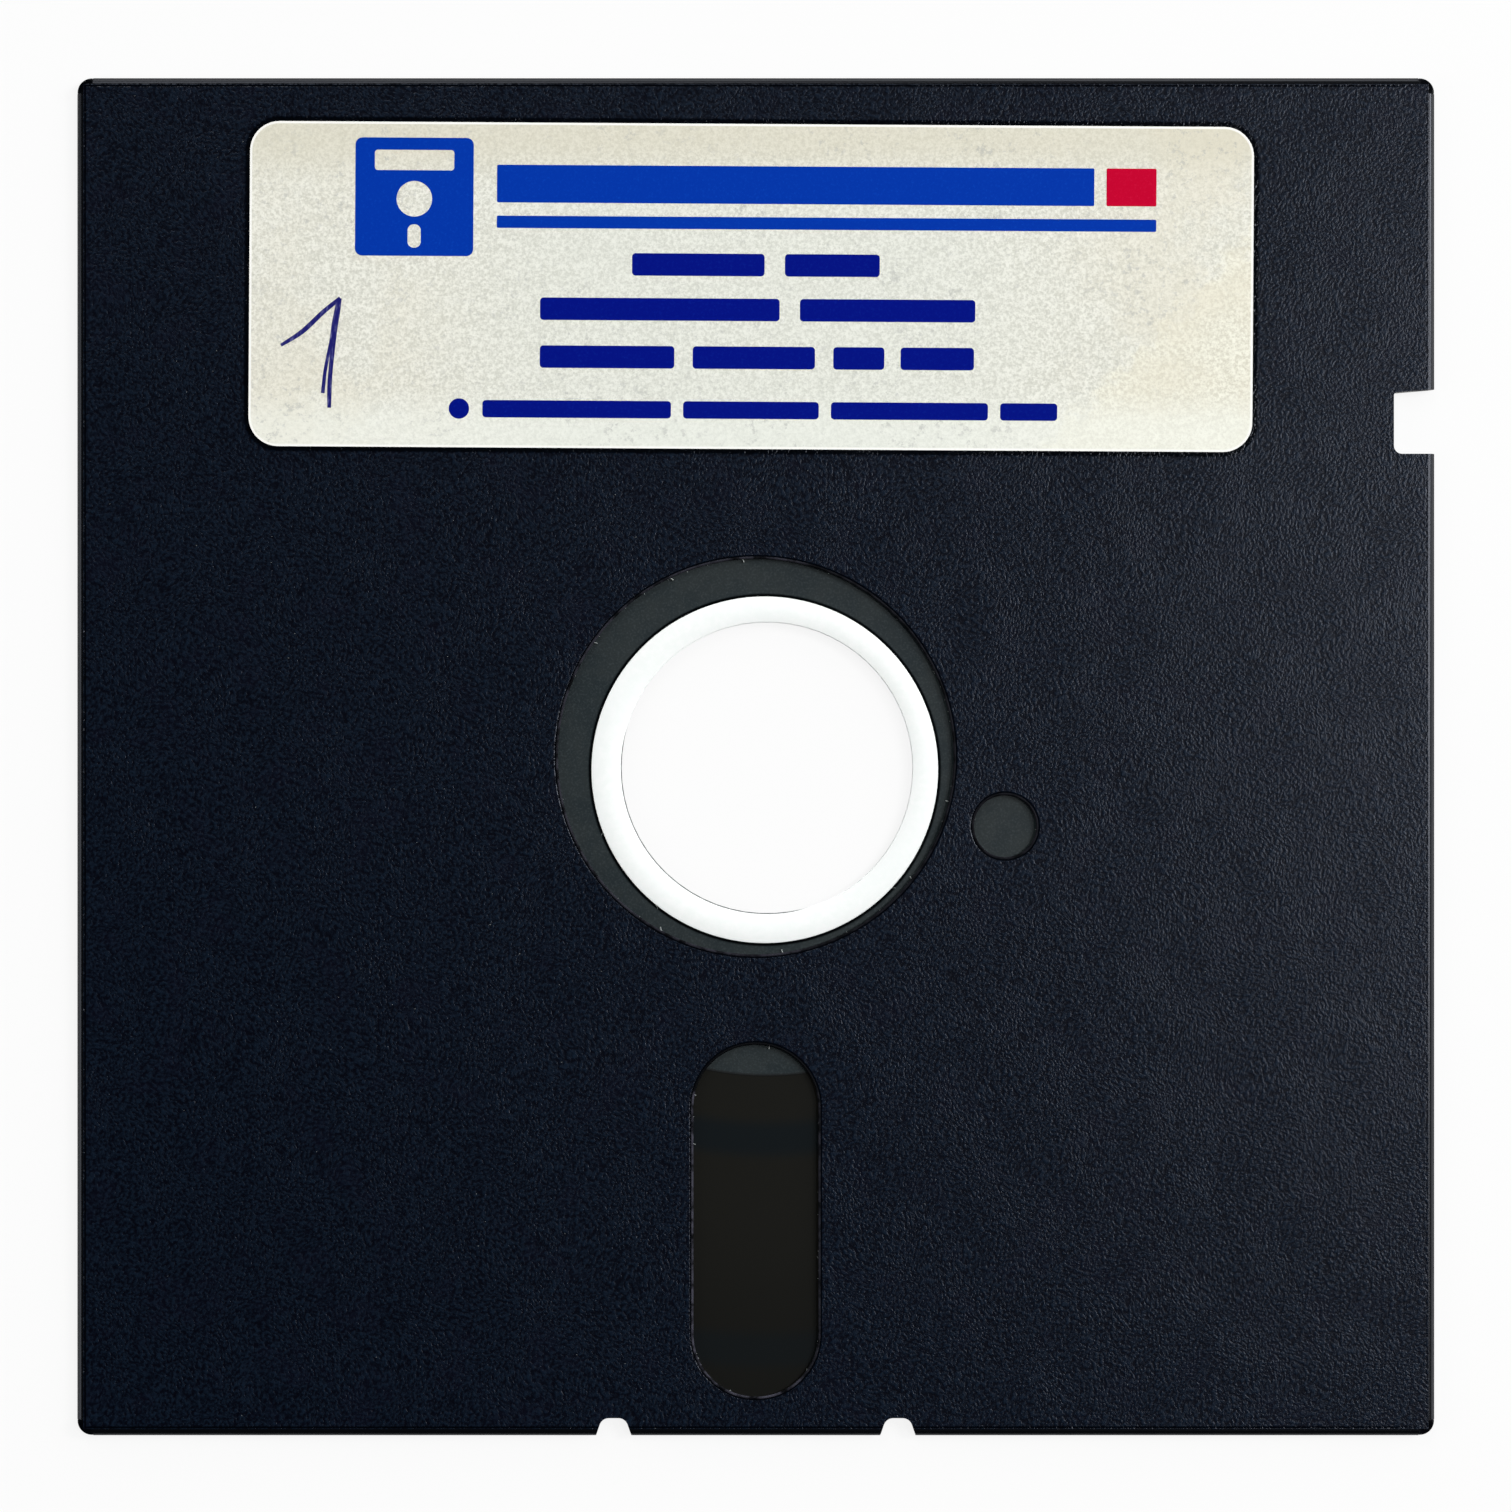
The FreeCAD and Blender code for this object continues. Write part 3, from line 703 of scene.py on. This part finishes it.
outlines = [
    circle(0, 0, HUB_WINDOW, 240),
    circle(*INDEX_PLACE, INDEX_WINDOW, 72),
    slot_outline(72),
]
lip_points, lip_edges = [], []
for height in (JACKET_FACE - LIP_SUNK, BACK_FACE + LIP_SUNK):
    for outline in outlines:
        first = len(lip_points)
        count = len(outline)
        lip_points += [(x, y, height) for x, y in outline]
        lip_edges += [(first + number, first + (number + 1) % count) for number in range(count)]


# %% Punched vinyl, with painted highlights in spots
def make_lip_vinyl():
    material, tree, shader = new_finish("punched_vinyl", roughness=0.6, gloss=0.05)
    place = millimetres(tree)
    sides = coordinates(tree, place)
    # Painted highlights: paler spots on the lips at the left of the slot and the hub window.
    at_slot = step(tree, sides["Y"], -32.7, -33.3)
    at_hub = step(tree, sides["Y"], -24.0, -22.0, 0.0, 0.5)
    painted_glint_side = maths(tree, "MAXIMUM", at_slot, at_hub)
    painted_glint_side = maths(tree, "MULTIPLY", painted_glint_side, step(tree, sides["X"], 3.0, 6.0, 1.0, 0.3))
    spots = step(tree, noise(tree, place, 0.9, detail=3.0), 0.34, 0.6)
    spots = maths(tree, "MULTIPLY", spots, painted_glint_side)
    body = mixed(tree, spots, colour(3, 4, 7), colour(60, 60, 70))
    tree.links.new(body, shader.inputs["Base Color"])
    return material


lip_vinyl = make_lip_vinyl()

# %% Sweep the lips
sweep, inlet = new_growth("sweep_lips", {"Lip size": LIP_SIZE * MM})
line = add(sweep, "GeometryNodeMeshToCurve", {0: inlet["Geometry"]}).outputs[0]
bumps = add(sweep, "ShaderNodeTexNoise", {"Scale": 900.0, "Detail": 2.0}).outputs["Fac"]
sockets = {"Value": bumps, "From Min": 0.35, "From Max": 0.65, "To Min": 0.35, "To Max": 1.3}
uneven = add(sweep, "ShaderNodeMapRange", sockets).outputs["Result"]
line = add(sweep, "GeometryNodeSetCurveRadius", {"Curve": line, "Radius": uneven}).outputs[0]
sockets = {"Resolution": 8, "Radius": inlet["Lip size"]}
profile = add(sweep, "GeometryNodeCurvePrimitiveCircle", sockets).outputs[0]
swept = add(sweep, "GeometryNodeCurveToMesh", {"Curve": line, "Profile Curve": profile})
close_growth(sweep, swept.outputs[0], lip_vinyl)

lips = new_piece(
    "window_lips", lip_points, [], "jacket", lip_vinyl, edges=lip_edges
)
grow(lips, sweep)

# %% [markdown]
# ## Stray fibres
#
# At the punched edges, single fibres of the liners stand out into the windows, and a few
# lie against the hub ring. They are pale and show as specks. The places of the larger ones
# were read off the photograph as angles round the hub window and points on the slot; a
# shorter fuzz fills in between, spread by a fixed seed. Every fibre is one bent thread,
# copied, turned and scaled. It starts at the liner's edge, and the angle in which it points
# is stored with the point that it grows from.

# %% Roots of the fibres
import random

HUB_FIBRES = [145, 124, 116, 110, 94, 68, 10, -13, -118, -82, -38]
SLOT_FIBRES = [(-6.2, -33.1), (-6.2, -38.0), (5.1, -60.4), (-2.7, -62.4),
               (-5.8, -59.0), (6.2, -49.3), (1.3, -28.3)]
RING_FIBRES = [201, 231, 286, 317]
HUB_FUZZ = 26
SLOT_FUZZ = 22
INDEX_FUZZ = 6
ROOT_GAP = 0.02
INWARDS = math.pi
ALONG_RIM = 1.2
chance = random.Random(7)


def circle_root(angle, x, y, radius, lean=INWARDS):
    """A root on a circle, and the angle in which its fibre points."""
    turn = math.radians(angle)
    reach = radius + ROOT_GAP
    return (x + reach * math.cos(turn), y + reach * math.sin(turn)), turn + lean


def slot_root(x, y):
    """A root on the edge of the slot, beside the given place."""
    middle = min(max(y, SLOT_BOTTOM), SLOT_TOP)
    angle = math.degrees(math.atan2(y - middle, x))
    return circle_root(angle, 0.0, middle, SLOT_HALF_WIDTH)


long_roots = [circle_root(angle, 0.0, 0.0, HUB_WINDOW) for angle in HUB_FIBRES]
long_roots += [slot_root(*place) for place in SLOT_FIBRES]

fuzz_roots = []
for number in range(HUB_FUZZ):
    fuzz_roots.append(circle_root(chance.uniform(0, 360), 0.0, 0.0, HUB_WINDOW))
for number in range(SLOT_FUZZ):
    fuzz_roots.append(slot_root(chance.choice((-6.2, 6.2)), chance.uniform(-63.0, -28.3)))
for number in range(INDEX_FUZZ):
    fuzz_roots.append(circle_root(chance.uniform(0, 360), *INDEX_PLACE, INDEX_WINDOW))

rim_middle = DISK_CENTRE + Vector(RIM_SHIFT)
ring_roots = [circle_root(angle, *rim_middle, RING_RIM, ALONG_RIM) for angle in RING_FIBRES]
print(f"{len(long_roots)} long fibres, {len(fuzz_roots)} short, {len(ring_roots)} at the ring")


# %% One bent thread, copied to every root
def make_drifting(name, scale, dark, pale, **sockets):
    """A plain finish whose colour drifts between two tones."""
    material, tree, shader = new_finish(name, **sockets)
    body = mixed(tree, noise(tree, millimetres(tree), scale), dark, pale)
    tree.links.new(body, shader.inputs["Base Color"])
    return material


fibre_tones = (colour(88, 96, 98), colour(182, 187, 185))
fibre_stuff = make_drifting("loose_fibre", 0.8, *fibre_tones, roughness=0.8, gloss=0.2)

thread_sizes = {"Length": 0.6 * MM, "Thickness": 0.02 * MM, "Spread": 0.9, "Seed": 1}
sprout, inlet = new_growth("sprout_fibres", thread_sizes)
half_length = maths(sprout, "MULTIPLY", inlet["Length"], 0.5)
bow = maths(sprout, "MULTIPLY", inlet["Length"], 0.14)
middle = add(sprout, "ShaderNodeCombineXYZ", {"X": half_length, "Y": bow}).outputs[0]
tip = add(sprout, "ShaderNodeCombineXYZ", {"X": inlet["Length"]}).outputs[0]
sockets = {"Resolution": 6, "Start": (0.0, 0.0, 0.0), "Middle": middle, "End": tip}
thread = add(sprout, "GeometryNodeCurveQuadraticBezier", sockets).outputs[0]
sockets = {"Resolution": 5, "Radius": inlet["Thickness"]}
profile = add(sprout, "GeometryNodeCurvePrimitiveCircle", sockets).outputs[0]
sockets = {"Curve": thread, "Profile Curve": profile, "Fill Caps": True}
strand = add(sprout, "GeometryNodeCurveToMesh", sockets).outputs[0]

# %% Turn and scale each copy
sockets = {"Name": "aim"}
aim = add(sprout, "GeometryNodeInputNamedAttribute", sockets, data_type="FLOAT").outputs[0]
spread_low = maths(sprout, "MULTIPLY", inlet["Spread"], -1.0)
sockets = {2: spread_low, 3: inlet["Spread"], "Seed": inlet["Seed"]}
swing = add(sprout, "FunctionNodeRandomValue", sockets, data_type="FLOAT").outputs[1]
heading = maths(sprout, "ADD", aim, swing)
angles = add(sprout, "ShaderNodeCombineXYZ", {"Z": heading}).outputs[0]
turned = add(sprout, "FunctionNodeEulerToRotation", {0: angles}).outputs[0]
sockets = {2: 0.5, 3: 1.3, "Seed": inlet["Seed"]}
size = add(sprout, "FunctionNodeRandomValue", sockets, data_type="FLOAT").outputs[1]
sockets = {"Points": inlet["Geometry"], "Instance": strand, "Rotation": turned, "Scale": size}
threads = add(sprout, "GeometryNodeInstanceOnPoints", sockets)
close_growth(sprout, threads.outputs[0], fibre_stuff)


# %% Grow the fibres
def grow_fibres(name, roots, height, body, reach, thickness, seed):
    """Fibres on these roots, at one height, that lie on one body."""
    points = [(*place, height) for place, turn in roots]
    piece = new_piece(name, points, [], body, fibre_stuff)
    aims = piece.data.attributes.new("aim", "FLOAT", "POINT")
    aims.data.foreach_set("value", [turn for place, turn in roots])
    grow(piece, sprout, {"Length": reach * MM, "Thickness": thickness * MM, "Seed": seed})


grow_fibres("liner_fibres", long_roots, LINER_BED + 0.09, "jacket", 0.46, 0.06, 4)
grow_fibres("liner_fuzz", fuzz_roots, LINER_BED + 0.07, "jacket", 0.22, 0.025, 11)
grow_fibres("ring_fibres", ring_roots, DISK_FACE + 0.02, "disk", 0.55, 0.025, 2)

# %% [markdown]
# ## Dust
#
# A disk that has been out of its sleeve has a little dust on it. The tree scatters flat
# specks over the top face of the jacket, which it gets as a copy of that face.

# %% Copy the faces that dust lies on
def top_faces(node, height):
    """The faces of a solid that look up at one height, as points and triangles."""
    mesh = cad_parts[node].data
    faces = []
    for face in mesh.polygons:
        corners = [mesh.vertices[number].co / MM for number in face.vertices]
        if face.normal.z > 0.99 and all(abs(corner.z - height) < 0.01 for corner in corners):
            faces.append([tuple(corner) for corner in corners])
    points = [corner for face in faces for corner in face]
    numbers = [tuple(range(3 * index, 3 * index + 3)) for index in range(len(faces))]
    return points, numbers


# %% Scatter the dust
SPECKS_PER_SQUARE_METRE = 9000.0
SPECK_SIZE = 0.045

dust_tones = (colour(58, 64, 70), colour(128, 132, 130))
dust_stuff = make_drifting("dust", 0.5, *dust_tones, roughness=0.9, gloss=0.1)

dust_sizes = {"Density": SPECKS_PER_SQUARE_METRE, "Speck size": SPECK_SIZE * MM, "Seed": 3}
scatter, inlet = new_growth("scatter_dust", dust_sizes)
sockets = {"Mesh": inlet["Geometry"], "Density": inlet["Density"], "Seed": inlet["Seed"]}
spots = add(scatter, "GeometryNodeDistributePointsOnFaces", sockets).outputs["Points"]
sockets = {"Radius": inlet["Speck size"], "Subdivisions": 1}
speck = add(scatter, "GeometryNodeMeshIcoSphere", sockets).outputs[0]
sockets = {0: (0.6, 0.6, 0.3), 1: (1.7, 1.3, 0.6), "Seed": inlet["Seed"]}
size = add(scatter, "FunctionNodeRandomValue", sockets, data_type="FLOAT_VECTOR").outputs[0]
sockets = {"Points": spots, "Instance": speck, "Scale": size}
specks = add(scatter, "GeometryNodeInstanceOnPoints", sockets)
close_growth(scatter, specks.outputs[0], dust_stuff)

dusty_points, dusty_faces = top_faces("jacket", JACKET_FACE)
dust = new_piece(
    "dust_on_jacket", dusty_points, dusty_faces, "jacket", dust_stuff
)
grow(dust, scatter)

# %% [markdown]
# ## Print on the label
#
# The label carries blue and red print: a striped heading with a red end, a small picture of
# a disk, and rows of bars. Offset print lies on the paper as a film of ink, so each colour
# is one very thin piece with crisp edges.
#
# The shapes are drawn as flat filled curves, because a curve that lies inside another one
# makes a hole by itself. Then they become meshes, about a hundredth of a millimetre thick.
# They sink a little way into the paper, and the pen's strokes lie one over another in small
# steps, so that no two faces share a height.

# %% Ink finishes
INK_DEPTH = 0.012
INK_SUNK = 0.002
LAYER_STEP = 0.003


def make_ink(name, thick, thin, roughness, drawn=(1.0, 1.0, 1.0)):
    """Ink whose film is a little uneven, as it settles into paper."""
    material, tree, shader = new_finish(name, roughness=roughness, gloss=0.03)
    place = millimetres(tree)
    pores = noise(tree, stretched(tree, place, drawn, turn=-6), 4.0, detail=4.0, roughness=0.7)
    body = mixed(tree, step(tree, pores, 0.5, 0.78), thick, thin)
    tree.links.new(body, shader.inputs["Base Color"])
    raise_surface(tree, shader, pores, 0.006, strength=0.6)
    return material


bright_blue = make_ink("bright_blue_ink", colour(0, 52, 164), colour(8, 68, 180), 0.55)
dark_blue = make_ink("dark_blue_ink", colour(0, 15, 126), colour(8, 34, 144), 0.55)
red_ink = make_ink("red_ink", colour(193, 0, 46), colour(206, 16, 60), 0.55)
pen_ink = make_ink("pen_ink", colour(30, 30, 104), colour(126, 128, 178), 0.5, (1.0, 5.0, 1.0))


# %% Outlines and flat shapes
def rounded_box(left, bottom, right, top, radius, steps=6):
    """The outline of a box with rounded corners."""
    corners = [
        (right - radius, top - radius, 0),
        (left + radius, top - radius, 90),
        (left + radius, bottom + radius, 180),
        (right - radius, bottom + radius, 270),
    ]
    outline = []
    for x, y, start in corners:
        for number in range(steps + 1):
            turn = math.radians(start + 90 * number / steps)
            outline.append((x + radius * math.cos(turn), y + radius * math.sin(turn)))
    return outline


def print_on_label(name, shapes, material, layer=0):
    """Outlines in millimetres from the label's middle, filled and laid on the paper."""
    curve = bpy.data.curves.new(name, "CURVE")
    curve.dimensions = "2D"
    curve.fill_mode = "BOTH"
    curve.extrude = INK_DEPTH / 2
    for outline in shapes:
        spline = curve.splines.new("POLY")
        spline.points.add(len(outline) - 1)
        for point, (x, y) in zip(spline.points, outline):
            point.co = (x, y, 0, 1)
        spline.use_cyclic_u = True
    drawn = bpy.data.objects.new(name, curve)
    scene.collection.objects.link(drawn)
    seen = drawn.evaluated_get(bpy.context.evaluated_depsgraph_get())
    mesh = bpy.data.meshes.new_from_object(seen)
    bpy.data.objects.remove(drawn)
    lift = LABEL_FACE + INK_DEPTH / 2 - INK_SUNK + LAYER_STEP * layer
    placed = Matrix.Translation((LABEL_CENTRE.x, LABEL_CENTRE.y, lift))
    turned = Matrix.Rotation(LABEL_TILT, 4, "Z")
    mesh.transform(Matrix.Scale(MM, 4) @ (placed @ turned))
    mesh.name = name
    mesh.materials.clear()
    mesh.materials.append(material)
    piece = bpy.data.objects.new(name, mesh)
    scene.collection.objects.link(piece)
    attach(piece, "jacket")
    print(f"{name}: {len(mesh.polygons)} faces")


# %% Heading and picture of a disk
PICTURE = (-33.1, 8.6)
HEADING_LEFT = -25.0
HEADING_RIGHT = 39.7

x, y = PICTURE
picture = [
    rounded_box(x - 5.8, y - 5.8, x + 5.8, y + 5.8, 0.7),
    rounded_box(x - 3.9, y + 2.6, x + 3.9, y + 4.6, 0.3),
    circle(x, y - 0.2, 1.75, 40),
    rounded_box(x - 0.65, y - 5.0, x + 0.65, y - 2.7, 0.6),
]
stripes = [
    rounded_box(HEADING_LEFT, 8.1, 33.6, 11.8, 0.15),
    rounded_box(HEADING_LEFT, 5.6, HEADING_RIGHT, 6.8, 0.15),
]
red_end = [rounded_box(34.8, 8.1, HEADING_RIGHT, 11.8, 0.15)]
print_on_label("heading_print", picture + stripes, bright_blue)
print_on_label("red_print", red_end, red_ink)

# %% Rows of bars, each with its foot, its top and the ends of its bars
ROWS = [
    (1.0, 3.2, [(-11.7, 1.3), (3.3, 12.6)]),
    (-3.4, -1.2, [(-20.7, 2.8), (4.8, 22.0)]),
    (-8.1, -5.9, [(-20.7, -7.5), (-5.7, 6.3), (8.1, 13.1), (14.7, 21.9)]),
    (-13.0, -11.3, [(-26.3, -7.8), (-6.6, 6.7), (7.9, 23.3), (24.5, 30.1)]),
]
bars = [circle(-28.6, -12.15, 1.0, 32)]
for bottom, top, ends in ROWS:
    bars += [rounded_box(left, bottom, right, top, 0.35) for left, right in ends]
print_on_label("line_print", bars, dark_blue)

# %% [markdown]
# ## The figure in pen
#
# Someone numbered the disk with a ballpoint: a plain 1, with its long stroke drawn twice.
# Each stroke is a smooth line through a few points, and the width of the pen's track changes
# along it. The outline goes up one side of the track and comes back down the other.


# %% Pen strokes
def between(p, q, r, s, t):
    """A value on the smooth line from q to r, which p and s bend."""
    bent = (2 * p - 5 * q + 4 * r - s) * t**2 + (3 * q - p - 3 * r + s) * t**3
    return 0.5 * (2 * q + (r - p) * t + bent)


def smooth_line(points, per_part=10):
    """A smooth line through the points; each has x, y and a width."""
    line = []
    ends = [points[0], *points, points[-1]]
    for part in zip(ends, ends[1:], ends[2:], ends[3:]):
        for number in range(per_part):
            line.append([between(*values, number / per_part) for values in zip(*part)])
    return [*line, list(points[-1])]


def stroke(points):
    """The outline of a pen's track."""
    line = smooth_line(points)
    left, right = [], []
    for number, (x, y, width) in enumerate(line):
        before = line[max(number - 1, 0)]
        after = line[min(number + 1, len(line) - 1)]
        ahead = Vector((after[0] - before[0], after[1] - before[1])).normalized()
        side = Vector((-ahead.y, ahead.x)) * width / 2
        left.append((x + side.x, y + side.y))
        right.append((x - side.x, y - side.y))
    return left + right[::-1]


PEN_STROKES = [
    [(-46.1, -6.05, 0.3), (-44.0, -4.68, 0.46), (-41.95, -2.74, 0.44), (-40.3, -1.4, 0.4)],
    [(-40.37, -1.41, 0.42), (-40.62, -2.93, 0.56), (-40.8, -4.2, 0.52), (-41.02, -6.43, 0.44),
     (-41.25, -8.97, 0.42), (-41.32, -10.6, 0.44), (-41.33, -12.15, 0.36)],
    [(-40.62, -2.0, 0.28), (-40.95, -3.9, 0.34), (-41.2, -5.64, 0.3), (-41.45, -6.91, 0.32),
     (-41.76, -8.66, 0.34), (-41.97, -10.72, 0.36)],
]
for number, points in enumerate(PEN_STROKES, start=1):
    print_on_label(f"pen_stroke_{number}", [stroke(points)], pen_ink, layer=number)

# %% [markdown]
# ## Floor, room and lamps
#
# The photograph has a white ground, so the floor shows white to the camera and still takes
# a little of the jacket's shadow. The room is darkest straight above, where whoever took
# the picture stood: a flat dark thing shows what is above it, and vinyl looks black only
# under a dark ceiling. Low down, the far right and upper side of the room is bright, as
# beside a window, and lights the folds of the jacket there.
#
# A soft key lamp stands to the right. Three weaker lamps, beyond the top edge, high beside
# the key and low on the left, keep the shadows in the windows thin. Each lamp's power comes
# from its share of the plain level, where 1 in all means that white paper renders white.
# The lamp spreads its power over pi and the paper spreads it over pi again, it thins out
# with the square of the distance, and a slanting beam is thinner still.

# %% Floor
FLOOR_SIZE = 3000.0
FLOOR_DROP = 0.03
FLOOR_SHOWN = 0.88
FLOOR_MIRRORED = 0.4


def grey(level):
    """A grey as a shader takes it, from 0 to 1."""
    return (level, level, level, 1.0)


def make_floor_finish():
    """White to the camera and in mirrors, with a share of matt floor that takes shadows."""
    material = bpy.data.materials.new("pale_floor")
    material.use_nodes = True
    tree = material.node_tree
    tree.nodes.clear()
    seen = add(tree, "ShaderNodeLightPath").outputs
    direct = maths(tree, "MAXIMUM", seen["Is Camera Ray"], seen["Is Transmission Ray"])
    mirrored = maths(tree, "MULTIPLY", seen["Is Glossy Ray"], FLOOR_MIRRORED)
    share = maths(tree, "MULTIPLY", maths(tree, "MAXIMUM", direct, mirrored), FLOOR_SHOWN)
    matt = add(tree, "ShaderNodeBsdfDiffuse", {"Color": grey(0.93)}).outputs[0]
    white = add(tree, "ShaderNodeEmission", {"Color": grey(0.985), "Strength": 1.0}).outputs[0]
    both = add(tree, "ShaderNodeMixShader", {0: share, 1: matt, 2: white}).outputs[0]
    add(tree, "ShaderNodeOutputMaterial", {"Surface": both})
    return material


side = FLOOR_SIZE / 2 * MM
floor_corners = [(-side, -side), (side, -side), (side, side), (-side, side)]
floor_mesh = bpy.data.meshes.new("floor")
floor_points = [(x, y, -FLOOR_DROP * MM) for x, y in floor_corners]
floor_mesh.from_pydata(floor_points, [], [(0, 1, 2, 3)])
floor_mesh.materials.append(make_floor_finish())
floor = bpy.data.objects.new("floor", floor_mesh)
scene.collection.objects.link(floor)
print(f"floor {FLOOR_SIZE / 1000:.0f} m wide")

# %% Room
ROOM_ABOVE = 0.02
ROOM_DARK_SIDE = 0.25
ROOM_LIGHT_SIDE = 2.8
TO_THE_WINDOW = (0.64, 0.77, 0.0)

world = bpy.data.worlds.new("room")
scene.world = world
world.use_nodes = True
room = world.node_tree
room.nodes.clear()
direction = add(room, "ShaderNodeTexCoord").outputs["Generated"]
up = coordinates(room, direction)["Z"]
sockets = {0: direction, 1: TO_THE_WINDOW}
window_side = add(room, "ShaderNodeVectorMath", sockets, operation="DOT_PRODUCT").outputs["Value"]
around = step(room, window_side, -0.3, 0.8, ROOM_DARK_SIDE, ROOM_LIGHT_SIDE)
low_down = step(room, up, 0.6, 0.2)
rise = maths(room, "SUBTRACT", around, ROOM_ABOVE)
level = maths(room, "MULTIPLY_ADD", rise, low_down, ROOM_ABOVE)
dim = add(room, "ShaderNodeBackground", {"Color": grey(1.0), "Strength": level}).outputs[0]
white = add(room, "ShaderNodeBackground", {"Color": grey(1.0), "Strength": 1.0}).outputs[0]
seen = add(room, "ShaderNodeLightPath").outputs["Is Camera Ray"]
both = add(room, "ShaderNodeMixShader", {0: seen, 1: dim, 2: white}).outputs[0]
add(room, "ShaderNodeOutputWorld", {"Surface": both})
print(f"room from {ROOM_ABOVE} above to {ROOM_LIGHT_SIDE} beside the window")


# %% Lamps
def add_lamp(name, place, side, share):
    """A square lamp aimed at the jacket; share is how much of the plain level it gives."""
    light = bpy.data.lights.new(name, "AREA")
    light.shape = "SQUARE"
    light.size = side
    spot = Vector(place)
    slant = spot.length / spot.z
    light.energy = share * (math.pi * spot.length) ** 2 * slant
    lamp = bpy.data.objects.new(name, light)
    lamp.location = spot
    lamp.rotation_euler = spot.to_track_quat("Z", "Y").to_euler()
    scene.collection.objects.link(lamp)
    print(f"{name}: {light.energy:.1f} W at {spot.length:.2f} m")


add_lamp("key_lamp", (0.92, 0.36, 0.87), 0.4, 0.36)
add_lamp("top_lamp", (-0.25, 0.86, 0.92), 0.5, 0.14)
add_lamp("side_lamp", (0.58, 0.05, 1.16), 0.3, 0.22)
add_lamp("fill_lamp", (-1.0, -0.1, 0.47), 0.6, 0.10)

# %% [markdown]
# ## Finish
#
# The view shows each colour as it is written, with no film look laid over it.

# %% Colours as written
scene.view_settings.view_transform = "Standard"
